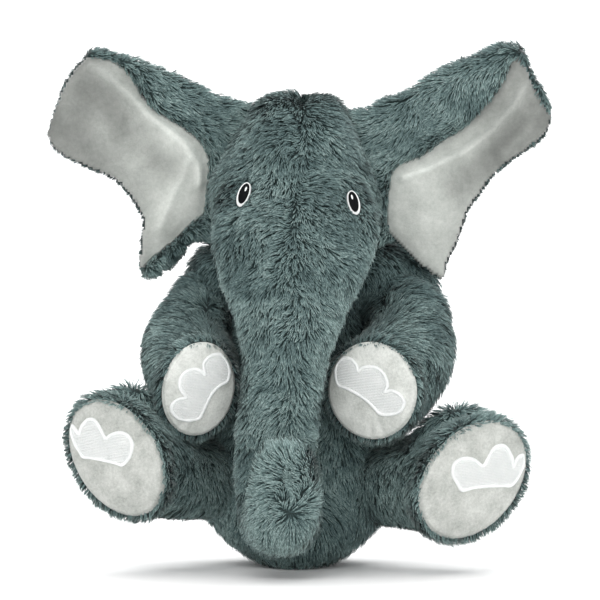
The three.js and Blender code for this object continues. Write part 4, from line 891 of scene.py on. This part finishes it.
    # nap: painted highlight along the ridge and the crease, painted shade in the valley with a paler band beside it,
    # then random tone
    nap = 1.0 + 0.34 * np.exp(-(fd / 3.8) ** 2) - 0.20 * np.exp(-(vd / 8.0) ** 2) + 0.10 * np.exp(-((vd - 17) / 9.0) ** 2)
    nap = nap + 0.2 * crease
    nap = nap + 0.07 * noise(np.stack([p[:, 0], 0 * p[:, 0], p[:, 1]], 1), 24, 43 + sgn) + 0.03 * noise(np.stack([p[:, 0], 0 * p[:, 0], p[:, 1]], 1), 8, 47 + sgn)
    yv = EAR_Y + bend(p) - hgt
    Vv = np.stack([p[:, 0], yv, p[:, 1]], 1)
    Vu = Vv + A([0, 1.6, 0])
    ed = np.sort(np.vstack([vq[:, [0, 1]], vq[:, [1, 2]], vq[:, [2, 3]], vq[:, [3, 0]]]), axis=1)
    ue, cnt = np.unique(ed, axis=0, return_counts=True)
    rimv = np.zeros(len(p), bool)
    rimv[ue[cnt == 1].ravel()] = True
    newb = np.where(rimv, np.arange(len(p)), len(p) + np.cumsum(~rimv) - 1)
    QV = np.vstack([vq, newb[vq][:, ::-1]])
    nn = np.cross(Vv[vq[:, 1]] - Vv[vq[:, 0]], Vv[vq[:, 2]] - Vv[vq[:, 0]]).sum(0)
    if nn[1] > 0:
        QV = QV[:, ::-1]
    o = skin(f"ear_{side}_velvet", np.vstack([Vv, Vu[~rimv]]), QV, f"ear_{side}", VELVET_EAR, (f"ear_{side}_velvet_panel",))
    paint_velvet_light(o, np.concatenate([nap, nap[~rimv]]))
    EAR[side] = dict(V=V, Q=QA, whole=whole, reach=reach, inner_depth=inner_depth, outer=outer, inner=inner, out2=out2, along=along, mid2=mid2, sgn=sgn, root=root)

# ------------------------------------------------------------------ tail
tail_path = [(0, 64, 72), (0, 68, 62), (0, 70.5, 50), (0, 71.5, 38), (0, 72, 27), (0, 72, 17), (0, 72, 9)]
tail_r = [3.0, 3.0, 2.9, 2.9, 3.6, 5.0, 3.2]
TV, TQ = fuse([loft(A([0, 61, 73]), [(A(q, float), X3, unit(A([0, 1, 0.12])), r, r) for q, r in zip(tail_path, tail_r)], A([0, 72, 6.5]))], 1.6, 2)
skin("tail_skin", TV, TQ, "tail", SKIN_MAT, ("tail_cord", "tail_tuft"))

# ------------------------------------------------------------------ grow the pile
body_tree = tree_of(BV, BQ)
limb_trees = {k: tree_of(v["V"], v["Q"]) for k, v in LIMB.items()}
ear_trees = {k: tree_of(v["V"], v["Q"]) for k, v in EAR.items()}


def clear_of(P, trees, slack=0.5):
    ok = np.ones(len(P), bool)
    for t in trees:
        idx = np.nonzero(ok)[0]
        ok[idx[depth_in(t, P[idx]) > slack]] = False
    return ok


# head and trunk
P, N = sample(HV, HQ, 1.05, 11, HN)
ok = clear_of(P, [body_tree, *ear_trees.values()])
for c, n, ax, ay in EYE_AT:
    rel = P - c
    ok &= ~(((rel @ ax) ** 2 / 4.0 ** 2 + (rel @ ay) ** 2 / 7.8 ** 2 < 1) & (np.abs(rel @ n) < 9))
P, N = P[ok], N[ok]
dx = P[:, 0] - seam_x(P[:, 2])
sidew = np.tanh(dx / 3.0) * ((0.55 + 0.55 * smooth(P[:, 2], 225, 262)) * np.exp(-np.abs(dx) / 18.0) + 0.30) * (0.45 + 0.55 * smooth(P[:, 2], 140, 200))
D = np.stack([sidew, 0.25 * smooth(P[:, 1], -90, -10), -np.ones(len(P))], 1)
crown = smooth(P[:, 2], 276, 300)
D[:, 1] -= 0.9 * crown * (P[:, 1] < 0)
D[:, 1] += 0.9 * crown * (P[:, 1] >= 0)
part = head_part(P)
# the turned-up tip: combed outwards from the foot of its crease
tipm = (part == 3) & (P[:, 1] < -116)
rad = np.stack([P[:, 0] + 3.0, np.zeros(len(P)), P[:, 2] - 42.0], 1)
D = np.where(tipm[:, None], 0.8 * unit(rad) + A([0.08, 0.1, -0.3]), D)
length = np.where(part == 0, 8.4, 8.2)
length = np.where(np.abs(dx) < 4, length * 0.86, length)
length = np.where(tipm, 8.6, length)
near_eye = np.zeros(len(P))
for c, n, ax, ay in EYE_AT:
    rel = P - c
    rad_ = np.linalg.norm(rel - n * (rel @ n)[:, None], axis=1)
    near_eye = np.maximum(near_eye, smooth(-rad_, -17, -7))
length = length * (1 - 0.52 * near_eye)
lean0 = np.where(part == 0, 38.0, 34.0) + 10 * near_eye
lean1 = np.where(part == 0, 80.0, 74.0)
lean0 = np.where(tipm, 32, lean0)
lean1 = np.where(tipm, 76, lean1)
# painted light and shade by region: the head a little darker, the trunk paler, and its turned-up tip much paler, where
# its strands point at the camera and fall into shade
bright = -0.08 + 0.0 * length
bright = np.where(part == 1, 0.3, bright)
bright = np.where(part == 2, 0.35, bright)
bright = np.where(tipm, 1.25, bright)
for k, (name, bodies, joint, gone) in enumerate(PARTS):
    halves = (("_pile", part == k),) if k else (("_left_pile", (part == 0) & (dx < 0)), ("_right_pile", (part == 0) & (dx >= 0)))
    for half, m in halves:
        grow(name + half, P[m], N[m], D[m], length[m], bodies, lean=(lean0[m], lean1[m]), seed=100 + k, shade=bright[m],
             clump=3.5, swirl=0.6 if k == 3 else 0.35)

# body
P, N = sample(BV, BQ, 0.8, 12)
ok = clear_of(P, [*limb_trees.values(), head_tree]) & ((P[:, 2] > 3.0) | (N[:, 2] > -0.7))
P, N = P[ok], N[ok]
D = np.stack([0.18 * np.sign(P[:, 0]), np.zeros(len(P)), -np.ones(len(P))], 1)
low = smooth(-P[:, 2], -16, -3)
D[:, :2] += 1.2 * low[:, None] * unit(P[:, :2] * A([1, 1]))
fb = P[:, 1] < 5
# painted shade: the pile is drawn darker towards the neck and shoulders, for the shadow under the head and ears
for nm, m in (("body_front_pile", fb), ("body_back_pile", ~fb)):
    grow(nm, P[m], N[m], D[m], 9.4, "torso", seed=120 + int(m[0]), shade=-0.25 - 1.2 * smooth(P[m][:, 2], 140, 178), lean=(40, 82), clump=3.8)

# limbs
for k, (name, L) in enumerate(LIMB.items()):
    P, N = sample(L["V"], L["Q"], 1.0, 30 + k)
    rel = P - L["sole"]
    h = rel @ L["n"]
    r = np.sqrt(((rel @ L["u"]) / L["a"]) ** 2 + ((rel @ L["w"]) / L["b"]) ** 2)
    trees = [body_tree, head_tree]
    ok = clear_of(P, trees) & ~((h > -9) & (r < 0.95)) & (P[:, 2] > 1.0)
    P, N, h, r, rel = P[ok], N[ok], h[ok], r[ok], rel[ok]
    axis = unit(A(L["path3"][-1]) - A(L["path3"][0]))
    rim = smooth(h, -14, -3)
    radial = unit(rel - np.outer(h, L["n"]))
    front_edge = smooth(h, -7, -1)
    D = np.repeat([axis], len(P), 0) * 0.3 + A([0, 0, -0.8]) * (1 - 0.5 * rim)[:, None] + radial * (0.55 * front_edge)[:, None] + np.outer(0.25 * rim, L["n"])
    # on top the pile is brushed up and back
    top = smooth(N[:, 2], 0.25, 0.75)
    D = D + top[:, None] * (np.repeat([-0.7 * axis], len(P), 0) + radial * 0.3 + A([0.35 * np.sign(L["sole"][0]), 0, 0]))
    ln = 9.2 - 1.8 * rim - 1.6 * front_edge
    l0, l1 = 42 - 8 * rim - 12 * front_edge + 4 * top, 80 - 6 * rim - 14 * front_edge + 3 * top
    # painted light: the legs' pile is drawn paler than the arms', and the limbs' upward-facing tops paler still, where
    # the light falls on them
    lift = (-0.1 if name.startswith("arm") else 0.6) + 0.15 * top
    if name.startswith("arm"):                      # painted shade: the shoulder lies in the ear's shadow, so its pile is drawn darker
        lift = lift - 1.8 * smooth(-((P - L["hip"]) @ axis), -26, 2)
    rng = np.random.default_rng(700 + k)
    # painted light: near the velvet's rim the pile is drawn paler and more strands get pale roots, against the shade
    # where fur meets pad; the tops get some pale roots too
    grow(name + "_pile", P, N, D, ln, name, seed=140 + k, shade=lift + 0.3 * rim, lean=(l0, l1), clump=3.4,
         pale=rng.random(len(P)) < (0.1 if name.startswith("arm") else 0.25) + 0.7 * front_edge + 0.2 * top)

# ears
for k, (side, e) in enumerate(EAR.items()):
    P, N = sample(e["V"], e["Q"], 1.05, 50 + k)
    p2 = P[:, [0, 2]]
    di = e["inner_depth"](p2)
    frontal = N[:, 1] < 0.15
    ok = clear_of(P, [head_tree]) & ~(frontal & (di > -0.2))
    P, N, p2, di, frontal = P[ok], N[ok], p2[ok], di[ok], frontal[ok]
    dout, near = poly_distance(p2, e["whole"][::2])
    out3 = A([e["out2"][0], 0, e["out2"][1]])
    away = unit(p2 - near)
    edge = smooth(-dout, -9, -3)
    inward = A([-e["sgn"] * 0.75, 0, -0.66])
    back_dir = out3 * 0.55 + A([0, 0, -0.75])
    D = np.where(frontal[:, None], inward, back_dir)
    outw = -np.stack([away[:, 0], np.zeros(len(P)), away[:, 1]], 1)
    D = D * (1 - 0.45 * edge)[:, None] + outw * (0.55 * edge)[:, None]
    l0 = np.where(frontal, 42, 38) + 6 * edge
    l1 = np.where(frontal, 82, 80)
    thin = smooth(di, -12, -4)
    ln = np.where(frontal, 9.8, 8.6) - (3.0 + 2.4 * thin) * edge
    ln = ln * (1 - 0.35 * smooth(di, -9, -2) * frontal)
    # painted light: strands along the ear's edge get pale roots, against the shade along its rim
    grow(f"ear_{side}_pile", P, N, D, ln, f"ear_{side}", seed=160 + k, shade=0.1, lean=(l0, l1), clump=3.6, pale=edge > 0.6)

# tail
P, N = sample(TV, TQ, 0.7, 60)
ok = clear_of(P, [body_tree])
P, N = P[ok], N[ok]
tuft = smooth(-P[:, 2], -30, -20)
grow("tail_pile", P, N, np.repeat([[0, 0.1, -1.0]], len(P), 0), 6.0 + 2.0 * tuft, "tail", seed=180, lean=(30 + 0 * tuft, 80 + 0 * tuft), clump=3.5)
print("PILE", sum(NAP.values()), NAP)

# ------------------------------------------------------------------ room, light, camera
def sweep_floor():
    prof = [(-3.6, 0.0), (2.7, 0.0)] + [(2.7 + 0.9 * math.sin(a), 0.9 - 0.9 * math.cos(a)) for a in np.linspace(0, math.pi / 2, 14)[1:]] + [(3.6, 5.0)]
    xs = np.linspace(-4, 4, 9)
    V = A([(x * 1000, y * 1000, z * 1000) for y, z in prof for x in xs])
    m = len(xs)
    i, k = np.meshgrid(np.arange(len(prof) - 1), np.arange(m - 1), indexing="ij")
    Q = np.stack([i * m + k, i * m + k + 1, (i + 1) * m + k + 1, (i + 1) * m + k], -1).reshape(-1, 4)
    o = make("studio_floor", V, [Q])
    mt = plain("studio_paper", (0.97, 0.97, 0.97), 0.95)
    o.data.materials.append(mt)


sweep_floor()


def area(name, loc, at, size, power, colour=(1, 1, 1)):
    l = bpy.data.lights.new(name, "AREA")
    l.shape, l.size, l.size_y = "RECTANGLE", size[0], size[1]
    l.energy, l.color = power, colour
    o = bpy.data.objects.new(name, l)
    bpy.context.scene.collection.objects.link(o)
    o.location = loc
    o.rotation_euler = (Vector(at) - Vector(loc)).to_track_quat("-Z", "Y").to_euler()


area("key", (-0.7, -1.9, 1.8), (0, 0, 0.15), (1.6, 1.2), 26)
area("fill", (1.5, -1.6, 0.8), (0, 0, 0.15), (1.4, 1.4), 12)
area("low", (-0.3, -2.6, 0.35), (0, 0, 0.12), (1.8, 0.5), 6)
area("top", (0.1, 0.1, 1.9), (0, 0, 0.1), (1.8, 1.8), 17)
area("backdrop", (0, 1.5, 3.0), (0, 3.3, 0.6), (4.4, 1.4), 120)
world = bpy.data.worlds.new("studio")
world.use_nodes = True
world.node_tree.nodes["Background"].inputs[0].default_value = (1, 1, 1, 1)
world.node_tree.nodes["Background"].inputs[1].default_value = 0.48
bpy.context.scene.world = world
bpy.context.scene.view_settings.view_transform = "Standard"
cam = bpy.data.cameras.new("camera")
cam.lens, cam.sensor_width = 187.5, 36
cam.clip_start, cam.clip_end = 0.05, 30
co = bpy.data.objects.new("camera", cam)
bpy.context.scene.collection.objects.link(co)
co.location = (0.00256, -2.0, 0.169)
co.rotation_euler = (math.pi / 2, 0, 0)
bpy.context.scene.camera = co
